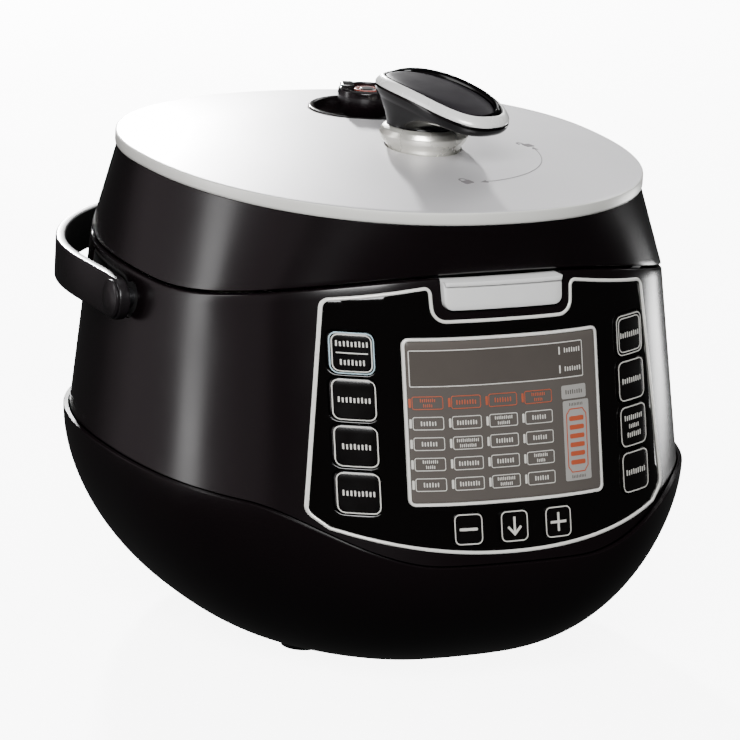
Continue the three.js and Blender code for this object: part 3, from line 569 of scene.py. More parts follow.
STEEL = surface(
    "brushed_steel", (0.6, 0.61, 0.62), (0.2, 0.36, 20), (260, 0.004), metallic=1, tint=0.05,
    stretch=(1, 1, 14),
)
TURNED_STEEL = surface(
    "turned_steel", (0.64, 0.65, 0.66), (0.16, 0.3, 30), (420, 0.003), metallic=1, tint=0.04,
)
DARK_STEEL = surface(
    "dark_steel", (0.03, 0.03, 0.032), (0.4, 0.55, 30), (420, 0.003), metallic=0.8, tint=0.06,
)
ALUMINIUM = surface(
    "spun_aluminium", (0.6, 0.61, 0.62), (0.3, 0.44, 25), (500, 0.006), metallic=1, tint=0.05,
    stretch=(1, 1, 9),
)
NON_STICK = surface("non_stick", (0.045, 0.045, 0.048), (0.34, 0.5, 45), (2100, 0.012), tint=0.35)
SILICONE = surface("silicone", (0.72, 0.7, 0.64), (0.45, 0.6, 40), (900, 0.01), tint=0.04)
BOARD_GREEN = surface("board_green", (0.012, 0.09, 0.04), (0.3, 0.5, 60), (700, 0.02), tint=0.3)
VALVE_ORANGE = surface("valve_orange", srgb(130, 44, 28), (0.3, 0.42, 70), (1500, 0.004), tint=0.08)


def add(obj, body, materials, replaced=()):
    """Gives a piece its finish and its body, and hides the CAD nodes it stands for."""
    if not isinstance(materials, (list, tuple)):
        materials = [materials]
    obj.data.materials.clear()
    for material in materials:
        obj.data.materials.append(material)
    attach(obj, body)
    if replaced:
        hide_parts(*replaced)
    return obj


def paint_faces(obj, index, test):
    """Gives the faces whose middle and normal pass the test another of the piece's materials."""
    for face in obj.data.polygons:
        middle = face.center * 1000 - Vector((0, SHIFT_Y, 0))
        if test(middle, face.normal):
            face.material_index = index


# ---------------------------------------------------------------- control panel
def panel_outline():
    bottom = []
    count = 24
    for i in range(count + 1):
        x = -100 + 200 * i / count
        corner = (x, 87.6 + 13 * (x / 100) ** 2)
        bottom.append((*corner, 4) if i in (0, count) else corner)
    top = [(110, 108, 6), (98.5, 221.5, 5), (43.2, 229.6, 3), (42.2, 211.4, 8)]
    mirrored = [(-x, z, r) for x, z, r in reversed(top)]
    return rounded([*bottom, *top, *mirrored], steps=6)


def bar(width, height, x, z):
    return block(width, height, min(width, height) * 0.3, x, z, 2)


def moved(corners, x, z):
    return [Vector((x + u, z + w)) for u, w in corners]


def outline_stroke(width, height, radius, x, z, line):
    outer = block(width, height, radius, x, z, 4)
    return outer, [grown(outer, -line)]


def panel_buttons():
    """Each button's name, place, size and corner radius."""
    places = []
    for side, label in ((-1, "left"), (1, "right")):
        for row in range(4):
            z = SIDE_BUTTON_TOP - row * SIDE_BUTTON_PITCH
            places.append((f"button_{label}_{row + 1}", side * SIDE_BUTTON_X, z, 22.4, 4.2))
    for i, label in enumerate(("minus", "down", "plus")):
        x = (i - 1) * LOWER_BUTTON_PITCH
        places.append((f"button_{label}", x, LOWER_BUTTON_Z, 17.2, 3.4))
    return places


def word(width, height, x, z):
    """A row of short bars that stands for a printed word."""
    pitch = height * 0.62
    letters = max(2, round(width / pitch))
    marks = []
    for k in range(letters):
        u = (k - (letters - 1) / 2) * pitch
        tall = height * (1, 0.86, 0.94)[k % 3]
        marks.append((bar(pitch * 0.45, tall, x + u, z - (height - tall) / 2), []))
    return marks


def button_icon(name, x, z):
    """Printed marks on a button, as plates in x and z: generic bars and signs."""
    if name == "button_minus":
        return [(bar(10.6, 1.4, x, z), [])]
    if name == "button_plus":
        arm, cross = [(5, 0.65), (0.65, 0.65), (0.65, 5)], []
        for _ in range(4):
            cross += arm
            arm = [(-w, u) for u, w in arm]
        return [(moved(cross, x, z), [])]
    if name == "button_down":
        arrow = [(0.65, 5), (-0.65, 5), (-0.65, -2.7), (-3.5, 0.2), (-4.4, -0.7), (0, -5.2)]
        arrow += [(4.4, -0.7), (3.5, 0.2), (0.65, -2.7)]
        return [(moved(arrow, x, z), [])]
    row = int(name[-1])
    if name == "button_left_1":
        return word(17, 3, x, z + 4.9) + word(13, 3, x, z - 4.9)
    if name == "button_right_3":
        return word(15, 2.8, x, z + 4.6) + word(9, 2.4, x, z) + word(13, 2.8, x, z - 4.6)
    return word((16, 17.5, 14, 16.5)[row - 1], 3, x, z)


def build_panel():
    outline = panel_outline()
    lens_outline = block(116.6, 86, 2.2, 0, LENS_Z, 4)
    holes = [grown(lens_outline, 1.9)]
    for name, x, z, size, corner in panel_buttons():
        face = block(size, size, corner, x, z)
        # A side button travels at a slant to the plate's straight-sided hole.
        holes.append(grown(face, 0.8 if name[-1].isdigit() else 0.45))
        cap = draped(name + "_cap", [(face, [])], 0.95, -4.6, PITCH, 0.5)
        add(cap, name, BUTTON_BLACK, [name])
        marks = button_icon(name, x, z)
        if name == "button_left_1":
            strokes = [outline_stroke(19.8, 19.8, 3.6, x, z, 0.55), (bar(15.5, 0.6, x, z), [])]
            rim = draped(name + "_rim", [outline_stroke(22, 22, 4.1, x, z, 0.55)], 1.06, 0.8, 5)
            add(rim, name, PRINT_BLUE, ())
        elif name == "button_right_1":
            strokes = [outline_stroke(21.6, 21.6, 3.9, x, z, 0.5)]
            strokes.append(outline_stroke(18.6, 18.6, 3.2, x, z, 0.5))
        else:
            strokes = [outline_stroke(size - 0.9, size - 0.9, corner * 0.9, x, z, 0.55)]
        ink = draped(name + "_print", [*strokes, *marks], 1.07, 0.8, 5)
        add(ink, name, PRINT_CREAM, ())
    fascia = draped("fascia_plate", [(grown(outline, -0.6), holes)], -0.1, -2.5, PITCH, 0.25)
    add(fascia, "housing", PANEL_BLACK, ["control_fascia"])

    section = [(-0.9, -1.2), (-0.9, 0.3), (-0.7, 0.65), (-0.35, 0.82), (0, 0.86)]
    section += [(0.4, 0.8), (0.72, 0.6), (0.88, 0.25), (0.9, -1.2)]
    trim = draped_band("fascia_band", outline, section)
    add(trim, "housing", TRIM_SILVER, ["fascia_trim"])
    section = [(0, -1.6), (0, 0.05), (0.25, 0.4), (0.8, 0.5), (1.35, 0.4), (1.6, 0.05), (1.6, -1.6)]
    surround = draped_band("display_surround", lens_outline, section)
    add(surround, "housing", TRIM_SILVER, ["display_frame"])
    build_display(lens_outline)


def build_display(lens_outline):
    lens = draped("display_glass", [(grown(lens_outline, -0.25), [])], 0, -2.6, PITCH, 0.2)
    add(lens, "housing", LENS_GREY, ["display_lens"])
    window = block(105.9, 19.5, 1, *WINDOW)
    pane = draped("display_window", [(window, [])], 0.06, -0.2, PITCH)
    add(pane, "housing", LENS_SHADE, ())

    cream = [(window, [grown(window, -0.5)])]
    for z in (192, 182):
        cream += word(11.5, 2.6, 42, z)
        cream.append((bar(0.9, 4.2, 33.6, z), []))
    orange = []
    for column in range(4):
        for row in range(5):
            x = LABEL_LEFT + column * LABEL_PITCH[0]
            z = LABEL_TOP - row * LABEL_PITCH[1]
            target = orange if row == 0 else cream
            target.append(outline_stroke(17.3, 7, 1.2, x, z, 0.4))
            target.append((bar(1.3, 4.8, x - 9.8, z), []))
            long = 9 + 2 * ((column * 2 + row * 3) % 3)
            if (column + row) % 3:
                target += word(long, 2.5, x, z)
            else:
                target += word(long, 1.8, x, z + 1.4) + word(long - 3, 1.8, x, z - 1.4)
    plates = [(block(16.4, 7.3, 1, *GAUGE_TITLE, 3), []), (block(17.4, 43, 1, *GAUGE, 3), [])]
    plate = draped("display_plates", plates, 0.08, -0.2, PITCH)
    add(plate, "housing", PRINT_GREY, ())
    x, z = GAUGE
    corners = [(-6.9, -14), (-4.4, -17.2), (4.4, -17.2), (6.9, -14), (6.9, 14), (4.4, 17.2)]
    hexagon = moved([*corners, (-4.4, 17.2), (-6.9, 14)], x, z)
    orange.append((hexagon, [grown(hexagon, -0.6)]))
    for k in range(6):
        orange.append((bar(9.8, 2.5, x, z - 11.75 + 4.7 * k), []))
    dark = word(12, 2.4, *GAUGE_TITLE) + word(9, 1.7, x, z + 19.4) + word(9, 1.7, x, z - 19.4)
    for name, shapes, material, height in (
        ("display_print", cream, PRINT_CREAM, 0.12),
        ("display_print_warm", orange, PRINT_ORANGE, 0.15),
        ("display_print_dark", dark, LENS_GREY, 0.13),
    ):
        add(draped(name, shapes, height, -0.2, PITCH), "housing", material, ())


# ---------------------------------------------------------------- housing
def window_outline():
    return rounded([(-17, 183, 6), (60, 182, 8), (60, 207, 4), (0, 206, 14), (-17, 198, 8)])


def release_outline():
    return rounded([(-36, 217.6, 5), (36, 217.6, 5), (36.5, 233.4, 1), (-36.5, 233.4, 1)])


def cup_outline(shrink=0.0, high=176):
    low = 136 + shrink
    top = high - shrink
    half = 28 - shrink
    return rounded([(-half, low, 4), (half, low, 4), (half, top, 4), (-half, top, 4)])


def wall_slab(name, outer, inner, low, high, count=AROUND):
    """The part of the wall between two offsets and two heights."""
    rings = []
    for z, offset in ((low, outer), (high, outer), (high, inner), (low, inner)):
        rings.append(wall_ring(lambda p: z, offset, count))
    return loft(name, rings, True)


def bowl_rings(levels, offset, lift):
    """Rings of the bowl from its flat bottom, level 0, to its edge, level 1."""
    rings = []
    top_ring = wall_ring(bowl_edge_at, 3.4 + offset)
    for level in levels:
        share = (1 - (1 - level) ** 1.862) ** (1 / 1.558)
        ring = []
        for top in top_ring:
            x = mix(top.x * 0.509, top.x, share)
            y = mix(top.y * 0.509 + BOWL_Y, top.y, share)
            ring.append(Vector((x, y, mix(FOOT_LIFT + lift, top.z, level))))
        rings.append(ring)
    return rings


def build_housing():
    above = lambda rise: lambda p: bowl_edge_at(p) + rise
    seam = lambda drop: lambda p: seam_at(p.y) - 0.85 - drop
    rings = [wall_ring(above(-6), -6.2), wall_ring(above(0.4), -3.4), wall_ring(above(0.4), 0)]
    for k in range(1, 26):
        share = k / 26
        rings.append(wall_ring(lambda p: mix(bowl_edge_at(p) + 0.4, seam_at(p.y) - 2, share), 0))
    for drop, offset in ((1.1, 0), (0.5, -0.15), (0.15, -0.5), (0, -1.1), (0, -3)):
        rings.append(wall_ring(seam(drop), offset))
    rings += [wall_ring(above(14), -3), wall_ring(above(5), -6.4), wall_ring(above(-6), -9)]
    shell = loft("housing_shell", rings, True)
    tools = [
        prism("cut_panel", grown(panel_outline(), -0.3), -230, -95),
        prism("cut_release", grown(release_outline(), 0.5), -200, -120),
        cuboid("cut_release_top", (-37, -200, 232), (37, -120, 250)),
        prism("cut_cup", grown(cup_outline(), 0.4), 120, 220),
    ]
    for side in (-1, 1):
        tools.append(prism("cut_window", window_outline(), side * 100, side * 220, "x"))
        tools.append(bail_rod("cut_boss", BOSS + GAP, (side * 110, side * 210)))
    boolean(shell, *tools)
    add(eased(shell, 0.5, 2, 50), "housing", GLOSS_BLACK, ["upper_housing"])

    levels = [(k / 40) ** 1.7 for k in range(40)]
    outside = bowl_rings([*levels, 0.985, 0.995], 0, 0)
    lip = [bowl_rings([1], offset, 0)[0] for offset in (-0.4, -1.4, -WALL)]
    inside_rings = bowl_rings([(k / 12) ** 1.6 for k in range(12)], -WALL, 3)
    bowl = loft("lower_bowl", [*outside, *lip, *reversed(inside_rings)])
    boolean(bowl, inlet_box("cut_inlet", 120, 200, GAP))
    add(bowl, "housing", GLOSS_BLACK, ["lower_shell"])

    for i, (side_x, side_y) in enumerate(((-1, -1), (1, -1), (1, 1), (-1, 1))):
        profile = [(0, 0.6), (5, 0.6, 0.3), (6, 0, 0.3), (11.6, 0, 0.9), (13, 3.65, 0.3), (0, 3.65)]
        foot = lathe(f"foot_pad_{i + 1}", profile, (side_x * 66, BOWL_Y + side_y * 52), 48)
        add(foot, "housing", RUBBER, [f"foot_{i + 1}"])
    build_pockets()
    build_deck()


def build_pockets():
    """The trays beside the bail's pivots, each with a boss that holds the pin."""
    for side, label in ((-1, "left"), (1, "right")):
        ends = (side * 100, side * 220)
        tray = wall_slab("bail_tray_" + label, -0.5, -10.5, 170, 218, COARSE)
        body = prism("tray_body", grown(window_outline(), -GAP), *ends, "x")
        join(body, bail_rod("tray_boss", BOSS, ends))
        overlap(tray, body)
        space = wall_slab("tray_space", 5, -8.5, 160, 225, COARSE)
        hollow = prism("tray_hollow", grown(window_outline(), -TRAY_WALL), *ends, "x")
        boolean(hollow, bail_rod("boss_room", BOSS, ends))
        overlap(space, hollow)
        boolean(tray, space)
        add(eased(tray, 0.5), "housing", MATTE_BLACK, ["bail_pocket_" + label])


def build_deck():
    """What shows when the lid is open: the collar round the well, the vessel and the pot."""
    plan = wall_plan(DECK_Z, -4.3)
    well = (WELL, WELL, WELL, 0, 2, 2)
    rings = []
    for outline, offset, rise in (
        (plan, 0, 0), (plan, 0, 2.1), (plan, -0.5, 2.5), (well, 0.6, 2.5), (well, 0, 2.1), (well, 0, 0),
    ):
        rings.append(level_ring(grown_plan(outline, offset), DECK_Z + rise, COARSE))
    collar = loft("deck_collar", rings, True)
    tools = []
    for side in (-1, 1):
        x = side * SIDE_BUTTON_X
        room = cuboid("cut_button", (x - 15, -180, 200), (x + 15, -100, 209))
        overlap(room, wall_slab("cut_button_band", 6, -8, 150, 230, COARSE))
        tools.append(room)
        tools.append(prism("cut_tray", grown(window_outline(), 1), side * 138.5, side * 220, "x"))
    boolean(collar, *tools)
    add(eased(collar, 0.3), "housing", MATTE_BLACK, ["rim_collar"])

    outer = [(0, 44), (117, 44, 3), (122, 49, 3), (122, 200, 0.8), (120, 200, 0.8), (120, 50, 3)]
    shell = lathe("vessel_shell", [*outer, (116, 46.2, 2), (0, 46.2)], sides=128)
    add(shell, "housing", STEEL, ["pressure_shell"])
    plate = [(16, 50), (88, 50, 1), (88, 61.5, 2), (16, 61.5, 1.5), (16, 50)]
    add(lathe("hot_plate", plate, sides=96), "housing", ALUMINIUM, ["heating_plate"])

    profile = [(0, 62.4), (98, 62.4, 8), (107, 66, 8), (110, 74, 6), (110, 195), (117, 195, 0.7)]
    profile += [(117, 197, 0.9), (109.4, 197, 1.2), (108, 194.6, 1.5), (108, 75, 8)]
    profile += [(105.5, 68, 8), (97, 64.6, 8), (0, 64.6)]
    pot = lathe("cooking_pot", profile, sides=144)
    add(pot, "housing", [ALUMINIUM, NON_STICK], ["inner_pot"])
    paint_faces(pot, 1, lambda p, n: math.hypot(p.x, p.y) < 108.4 and p.z > 64.2)
    for k in range(1, 6):
        mark = pot_mark(f"pot_mark_{k}", 80 + 20 * k, 0.16 if k % 2 else 0.26)
        add(mark, "housing", PRINT_GREY, ())


def pot_mark(name, z, reach):
    """A short level line on the pot's inner wall."""
    points = []
    for radius, height in ((107.9, z - 0.5), (107.9, z + 0.5), (108.2, z + 0.5), (108.2, z - 0.5)):
        for k in range(13):
            angle = math.pi * 0.25 + reach * (k / 12 - 0.5)
            points.append(Vector((*polar(radius, angle), height)))
    faces = []
    for k in range(4):
        for i in range(12):
            a, b = k * 13 + i, (k + 1) % 4 * 13 + i
            faces.append((a, a + 1, b + 1, b))
    faces += [(0, 13, 26, 39), (12, 25, 38, 51)]
    return mesh_object(name, points, faces)


def build_back():
    build_inlet()
    build_cup()
    build_hinge()


def inlet_box(name, near, far, gap=0.0):
    half = 15 + gap
    return cuboid(name, (-25 - gap, near, INLET_Z - half), (25 + gap, far, INLET_Z + half))


def build_inlet():
    """The mains inlet with its three pins."""
    inlet = inlet_box("inlet_block", 140, 172.5)
    mouth = prism("inlet_mouth", block(31, 23, 5, 0, INLET_Z), 171.3, 180)
    socket = cuboid("inlet_socket", (-12.5, 155, INLET_Z - 8.5), (12.5, 180, INLET_Z + 8.5))
    boolean(inlet, mouth, socket)
    for x, rise in ((-7, -3), (0, 3), (7, -3)):
        low, high = INLET_Z + rise - 2, INLET_Z + rise + 2
        join(inlet, cuboid("pin", (x - 1, 153, low), (x + 1, 169, high)))
    eased(inlet, 0.6)
    add(inlet, "housing", [MATTE_BLACK, TURNED_STEEL], ["power_inlet"])
    paint_faces(inlet, 1, on_inlet_pin)


def on_inlet_pin(point, normal):
    return abs(point.x) < 8.1 and 155.5 < point.y < 169.1 and 53 < point.z < 67


def build_cup():
    """The condensate cup and the bay that it slides into."""
    cup = rear_tray("cup_body", cup_outline(), (-0.2, -24), cup_outline(2, 196), (-2.2, -22))
    add(eased(cup, 0.7), "cup", GLOSS_BLACK, ["condensate_cup"])
    outer, opening = grown(cup_outline(), 2.4), grown(cup_outline(), 0.5)
    bay = rear_tray("cup_bay_body", outer, (-3.35, -26.4), opening, (5, -24.5))
    add(eased(bay, 0.4), "housing", MATTE_BLACK, ["cup_bay"])


def rear_tray(name, outline, band, opening, space):
    """A tray in the rear wall. Its band and the space in it are (outer, inner) offsets."""
    tray = overlap(prism(name, outline, 120, 220), wall_slab("band", *band, 125, 195, 120))
    room = overlap(prism("room", opening, 120, 220), wall_slab("space", *space, 120, 200, 120))
    return boolean(tray, room)


def build_hinge():
    """The tower at the rear and the pin that the lid turns on."""
    foot = ((130, 208.2), (151, 208.2), (151, 210.9), (167, 210.9), (170, 220))
    arc = [polar(20, i / 32 * math.pi, (HINGE_Y, HINGE_Z)) for i in range(33)]
    outline = [Vector(p) for p in (*foot, *arc)]
    tower = prism("hinge_tower", outline, -72, 72, "x")
    limit = [wall_ring(lambda p: z, 1.5, COARSE) for z in (200, 270)]
    overlap(tower, loft("tower_limit", limit))
    boolean(tower, hinge_rod("tower_bore", HINGE_BORE, -90, 90, 32))
    add(eased(tower, 1.2, 3), "housing", GLOSS_BLACK, ["hinge_housing"])
    pin = hinge_rod("hinge_axle", HINGE_PIN, -86, 86)
    add(eased(pin, 0.6, 3), "housing", TURNED_STEEL, ["hinge_pin"])


def build_release():
    button = draped("release_plate", [(release_outline(), [])], 2.7, -6, 4, 1.1)
    add(button, "release", RELEASE_SILVER, ["release_button"])
    corners = ((-35.6, 230.6), (35.6, 230.6), (36.3, 233.2), (-36.3, 233.2))
    edge = draped("release_lip", [([Vector(p) for p in corners], [])], 4.3, 0, 4, 0.8)
    add(edge, "release", RELEASE_SILVER, ())


# ---------------------------------------------------------------- lid
def rim_ring(z, offset, scale=1.0):
    return level_ring(rim_plan(scale, offset), z)


def dome_height(share):
    return RIM_HEIGHT + RIM_BAND + DOME_RISE * (1 - share ** DOME_POWER)


def dome_point(x, y, offset=0.0):
    """The dome's surface above a place in plan."""
    half, front, back, centre, power, _ = rim_plan()
    reach = front if y < centre else back
    share = (abs(x / half) ** power + abs((y - centre) / reach) ** power) ** (1 / power)
    return Vector((x, y, dome_height(share) + offset))


def build_lid():
    seam = lambda rise: lambda p: seam_at(p.y) + 0.85 + rise
    top = RIM_HEIGHT - GAP
    low, high = wall_ring(seam(0), 0), rim_ring(top, -1.2)
    outer = []
    for share in (0.03, 0.08, 0.2, 0.35, 0.5, 0.65, 0.8, 0.93, 1):
        outer.append([a.lerp(b, share) for a, b in zip(low, high)])
    foot_levels = ((0, -3), (0, -1.1), (0.15, -0.5), (0.5, -0.15))
    foot = [wall_ring(seam(rise), offset) for rise, offset in foot_levels]
    inner_top = rim_ring(top, -4.2)
    skirt = loft("lid_wall", [*foot, *outer, inner_top], True)
    boolean(skirt, cuboid("cut_hinge", (-88, 118, 190), (88, 200, 262)))
    add(eased(skirt, 0.5, 2, 50), "lid", GLOSS_BLACK, ["lid_skirt"])

    shares = [0.12 * k for k in range(1, 8)] + [0.9, 0.94, 0.965]
    outer = [rim_ring(dome_height(share), 0, share) for share in shares]
    outer = [rim_ring(dome_height(0.03), 0, 0.03), *outer]
    under = [rim_ring(dome_height(share) - COVER_WALL, 0, share) for share in (0.03, 0.4, 0.7, 0.93)]
    # The band round the edge, from its inner foot over its rounded corners to the dome.
    band = [(4, -COVER_WALL), (0.1, -COVER_WALL), (0, -1.4), (0.15, -0.5), (0.7, -0.1), (1.6, 0), (4, 0)]
    band += [(6, 0), (6.6, -0.12), (7, -0.5), (7.25, -1.3), (7.55, -3)]
    rim = [rim_ring(RIM_HEIGHT + rise, offset) for rise, offset in band]
    cover = loft("lid_dome", [*under, *rim, *reversed(outer)])
    dish = drill("cut_valve", DISH_RADIUS, 255, 300, VALVE, 128)
    boolean(cover, drill("cut_knob", 22, 255, 300, KNOB, 96), dish)
    add(cover, "lid", [DOME_SILVER, RIM_SILVER], ["lid_cover"])
    paint_faces(cover, 1, on_rim)

    profile = [(7, 274), (27.65, 274, 2), (33.65, 279, 2), (33.65, 286.8, 0.8), (30.6, 286.8, 0.8)]
    profile += [(30.4, 281.5, 2.5), (26.5, 276.5, 4), (7, 276.5, 0.4), (7, 274)]
    well = lathe("valve_dish", profile, VALVE, 128)
    add(well, "lid", GLOSS_BLACK, ["valve_well"])
    build_dome_print()
    build_lid_inside()


def on_rim(point, normal):
    return RIM_HEIGHT - 1 < point.z < RIM_HEIGHT + RIM_BAND + 0.1 and normal.z < 0.75


def padlock(x, y, turn, opened):
    """A plain padlock mark, as plates in plan."""
    body = block(6.4, 5, 0.8, 0, 0, 3)
    shift = 2.6 if opened else 0
    arch = [Vector(polar(2.4, math.pi * k / 12, (-shift, 3.9))) for k in range(13)]
    arch = [Vector((2.4 - shift, 2.5 if not opened else 3.4)), *arch, Vector((-2.4 - shift, 2.5))]
    inner = [Vector((p.x * 0.6 - shift * 0.4, p.y - (1 if p.y > 4 else 0))) for p in arch]
    shackle = arch + list(reversed(inner))
    plates = []
    for loop in (body, shackle):
        spin = Matrix.Rotation(turn, 2)
        plates.append(([spin @ p + Vector((x, y)) for p in loop], []))
    return plates


def build_dome_print():
    """The arc of the lever's travel with an arrow and a padlock at each end."""
    spoke = lambda angle: Vector(polar(1, angle))
    first, last = math.radians(6 - 90), math.radians(82 - 90)
    arc = [mix(first, last, k / 32) for k in range(33)]
    outer = [spoke(angle) * (ARC_RADIUS + 0.22) for angle in arc]
    inner = [spoke(angle) * (ARC_RADIUS - 0.22) for angle in reversed(arc)]
    shapes = [([p + KNOB.xy for p in outer + inner], [])]
    for angle, sense in ((first, -1), (last, 1)):
        across = spoke(angle)
        middle = across * ARC_RADIUS
        along = Vector((-across.y, across.x)) * sense
        tip = [middle + along * 4.4, middle + across * 1.9, middle - across * 1.9]
        if sense > 0:
            tip.reverse()
        shapes.append(([p + KNOB.xy for p in tip], []))
    for degrees, opened in ((-4 - 90, False), (89 - 90, True)):
        spot = KNOB.xy + spoke(math.radians(degrees)) * (ARC_RADIUS - 1)
        shapes += padlock(spot.x, spot.y, 0.35, opened)
    print_piece = draped("dome_marks", shapes, 0.12, -0.25, 6, lift=dome_point)
    add(print_piece, "lid", DOME_PRINT, ())


def build_lid_inside():
    """The lining with its hinge arms, the pressure plate, the seal and the steam guard."""
    sheets = [level_ring(wall_plan(z, -8), z, COARSE) for z in (LINER_Z, LINER_Z + 3)]
    liner = loft("lid_lining", sheets)
    tools = [
        cuboid("cut_back", (-200, 118, 200), (200, 220, 240)),
        cuboid("cut_latch", (-42, -200, 200), (42, -128, 240)),
        drill("cut_shaft", 7, 200, 240, KNOB, 48),
        drill("cut_stem", 8, 200, 240, VALVE, 48),
        drill("cut_float", 3.6, 200, 240, FLOAT, 32),
    ]
    boolean(liner, *tools)
    for near in (-84, 75):
        join(liner, cuboid("arm", (near, 96, LINER_Z), (near + 9, HINGE_Y, 243)))
        join(liner, hinge_rod("knuckle", 9, near, near + 9))
    boolean(liner, hinge_rod("bore", HINGE_BORE, -90, 90, 32))
    join(liner, cuboid("latch_lip", (-16, -127.6, 209), (16, -124.6, 223)))
    add(eased(liner, 0.5), "lid", MATTE_BLACK, ["lid_liner"])

    profile = [(0, 208.5), (60, 207.7, 20), (98, 206.9, 4), (118, 206.9, 0.8), (118, 209.4, 0.8)]
    profile += [(99, 209.4, 2), (0, 211)]
    plate = lathe("pressure_plate", profile, sides=128)
    boolean(plate, drill("cut_float", 3.6, 190, 240, FLOAT, 32))
    add(plate, "lid", TURNED_STEEL, ["pressure_lid"])
    ring = [(103, 206.5, 0.8), (103, 204), (106, 199, 1.5), (104.5, 197.6, 0.5), (117.4, 197.6, 1.2)]
    ring += [(117.4, 206.5, 0.8)]
    seal = lathe("seal_ring", [*ring, ring[0]], sides=128, steps=3)
    add(seal, "lid", SILICONE, ["lid_seal"])
    cap = [(0, 198), (12, 198, 1.2), (15, 201, 1), (15, 206.4, 0.5), (0, 206.4)]
    guard = lathe("steam_guard", cap, VALVE, 64)
    tools = []
    for k in range(10):
        spot = polar(15, k / 10 * 2 * math.pi, VALVE)
        tools.append(drill("slot", 1.5, 202, 205.4, spot, 16))
    boolean(guard, *tools)
    add(guard, "lid", TURNED_STEEL, ["anti_block_cap"])
    pin = [(0, 200), (2, 200, 0.4), (3, 201, 0.4), (3, 231, 0.6), (0, 232)]
    add(lathe("float_stem", pin, FLOAT, 40), "float", TURNED_STEEL, ["float_pin"])
    sensor = [(0, 50.5), (14.5, 50.5), (14.5, 54, 0.5), (12.5, 54), (12.5, 61.5, 1)]
    sensor += [(10.5, 62, 1), (0, 62)]
    disc = lathe("sensor_disc", sensor, sides=64)
    add(disc, "sensor", ALUMINIUM, ["temperature_sensor"])


# ---------------------------------------------------------------- lock lever
def knob_turn():
    return math.radians(KNOB_AZIMUTH - 90)


def knob_rings(outline, heights):
    turn = Matrix.Rotation(knob_turn(), 2)
    ring = []
    for p, z in zip(outline, heights):
        spot = turn @ p + KNOB.xy
        ring.append(Vector((spot.x, spot.y, z)))
    return ring


def lever_oval(oval, shrink=0.0):
    """An oval in the lever's frame, where u runs to the tip."""
    centre, length, width, shift, taper = oval
    power = 2 / LEVER_POWER
    out = []
    for a in angles(96):
        u = centre + (length - shrink) * signed_power(math.cos(a), power)
        across = (width - shrink) * signed_power(math.sin(a), power)
        out.append(Vector((u, shift + across * (1 - taper * math.cos(a)))))
    return out


def lever_height(u):
    """The height of the bright band's foot along the lever."""
    return 316.64 - 0.0701 * u - 0.00184 * u * u


def crest_share(point):
    """How far a point lies towards the lever's crested side, from 0 to 1."""
    return smooth_step(-10, 16, point.y)


def build_knob():
    profile = [(0, 278.2), (20.6, 278.2, 0.5), (21.1, 281, 4), (20.9, 284.5, 5), (24, 288.7, 5)]
    profile += [(25.4, 291.6, 1.8), (23.7, 294.9, 2), (21.5, 296.4, 0.4), (0, 296.4)]
    collar = lathe("lever_collar", profile, KNOB, 96)
    add(collar, "knob", CHAMPAGNE, ["knob_collar"])

    edge, under, inset = (lever_oval(oval) for oval in (LEVER_EDGE, LEVER_UNDER, LEVER_INSET))
    neck = [Vector((math.cos(a), math.sin(a))) * LEVER_NECK for a in angles(len(edge))]
    band_end = [p.lerp(q, mix(0.8, 0.42, crest_share(p))) for p, q in zip(edge, inset)]
    hollow, pocket = grown(band_end, -GAP), grown(inset, GAP)

    def between(start, end, share):
        return [p.lerp(q, share) for p, q in zip(start, end)]

    def crown(points, rise, crest=0.0):
        heights = [lever_height(p.x) + rise + crest * crest_share(p) for p in points]
        return knob_rings(points, heights)

    keys = [(0, 0, 0), (0, 0.03, 0.5), (0.1, 0.14, 1), (0.4, 0.45, 1), (0.8, 0.8, 1), (1, 1, 1)]
    rings = []
    for k in range(len(keys) - 1):
        for step in range(6):
            before, after = keys[max(0, k - 1)], keys[min(len(keys) - 1, k + 2)]
            share, rise, foot = [
                catmull(before[i], keys[k][i], keys[k + 1][i], after[i], step / 6) for i in range(3)
            ]
            points = between(neck, under, share)
            low = mix(LEVER_FOOT, LEVER_FOOT + 1.25, foot)
            heights = [mix(low, lever_height(p.x) - 6.2, rise) for p in points]
            rings.append(knob_rings(points, heights))
    for share, rise in ((0, -6.2), (0.4, -5.2), (0.75, -3.7), (0.95, -2.2), (1, -1), (1, -0.3)):
        rings.append(crown(between(under, edge, share), rise))
    rings += [crown(between(edge, band_end, share), 0) for share in (0.03, 0.15)]
    rings += [crown(hollow, 2.5), crown(hollow, 4.5)]
    crest_levels = [(0.1, 4.85, 0.5), (0.3, 5, 1.6), (0.5, 5.05, 2.3), (0.7, 5, 2.4)]
    for share, rise, crest in (*crest_levels, (0.88, 4.9, 1.8), (1, 4.6, 0.9)):
        rings.append(crown(between(hollow, pocket, share), rise, crest))
    rings.append(crown(pocket, 2.9))
    body = loft("lever_body", rings)
    add(body, "knob", KNOB_BLACK, ["knob_body"])

    section = [(0.15, 0.4), (0.02, 0.4), (0, 0.8), (0.04, 1.5), (0.16, 2.4), (0.4, 3.6), (0.66, 4.5)]
    section += [(0.86, 4.9), (0.96, 4.95), (1, 4.75), (1, 2.95)]
    bands = [crown(between(edge, band_end, share), rise) for share, rise in section]
    trim = loft("lever_band", bands, True, 40)
    add(trim, "knob", BAND_SILVER, ["knob_trim"])
    section = [(0, 3.3), (0, 4.5), (0.25, 4.85), (1, 5.1), (3, 5.4), (6, 5.65), (10, 5.85)]
    plate = loft("lever_inset", [crown(lever_oval(LEVER_INSET, d), rise) for d, rise in section])
    add(plate, "knob", CHARCOAL, ["knob_inset"])


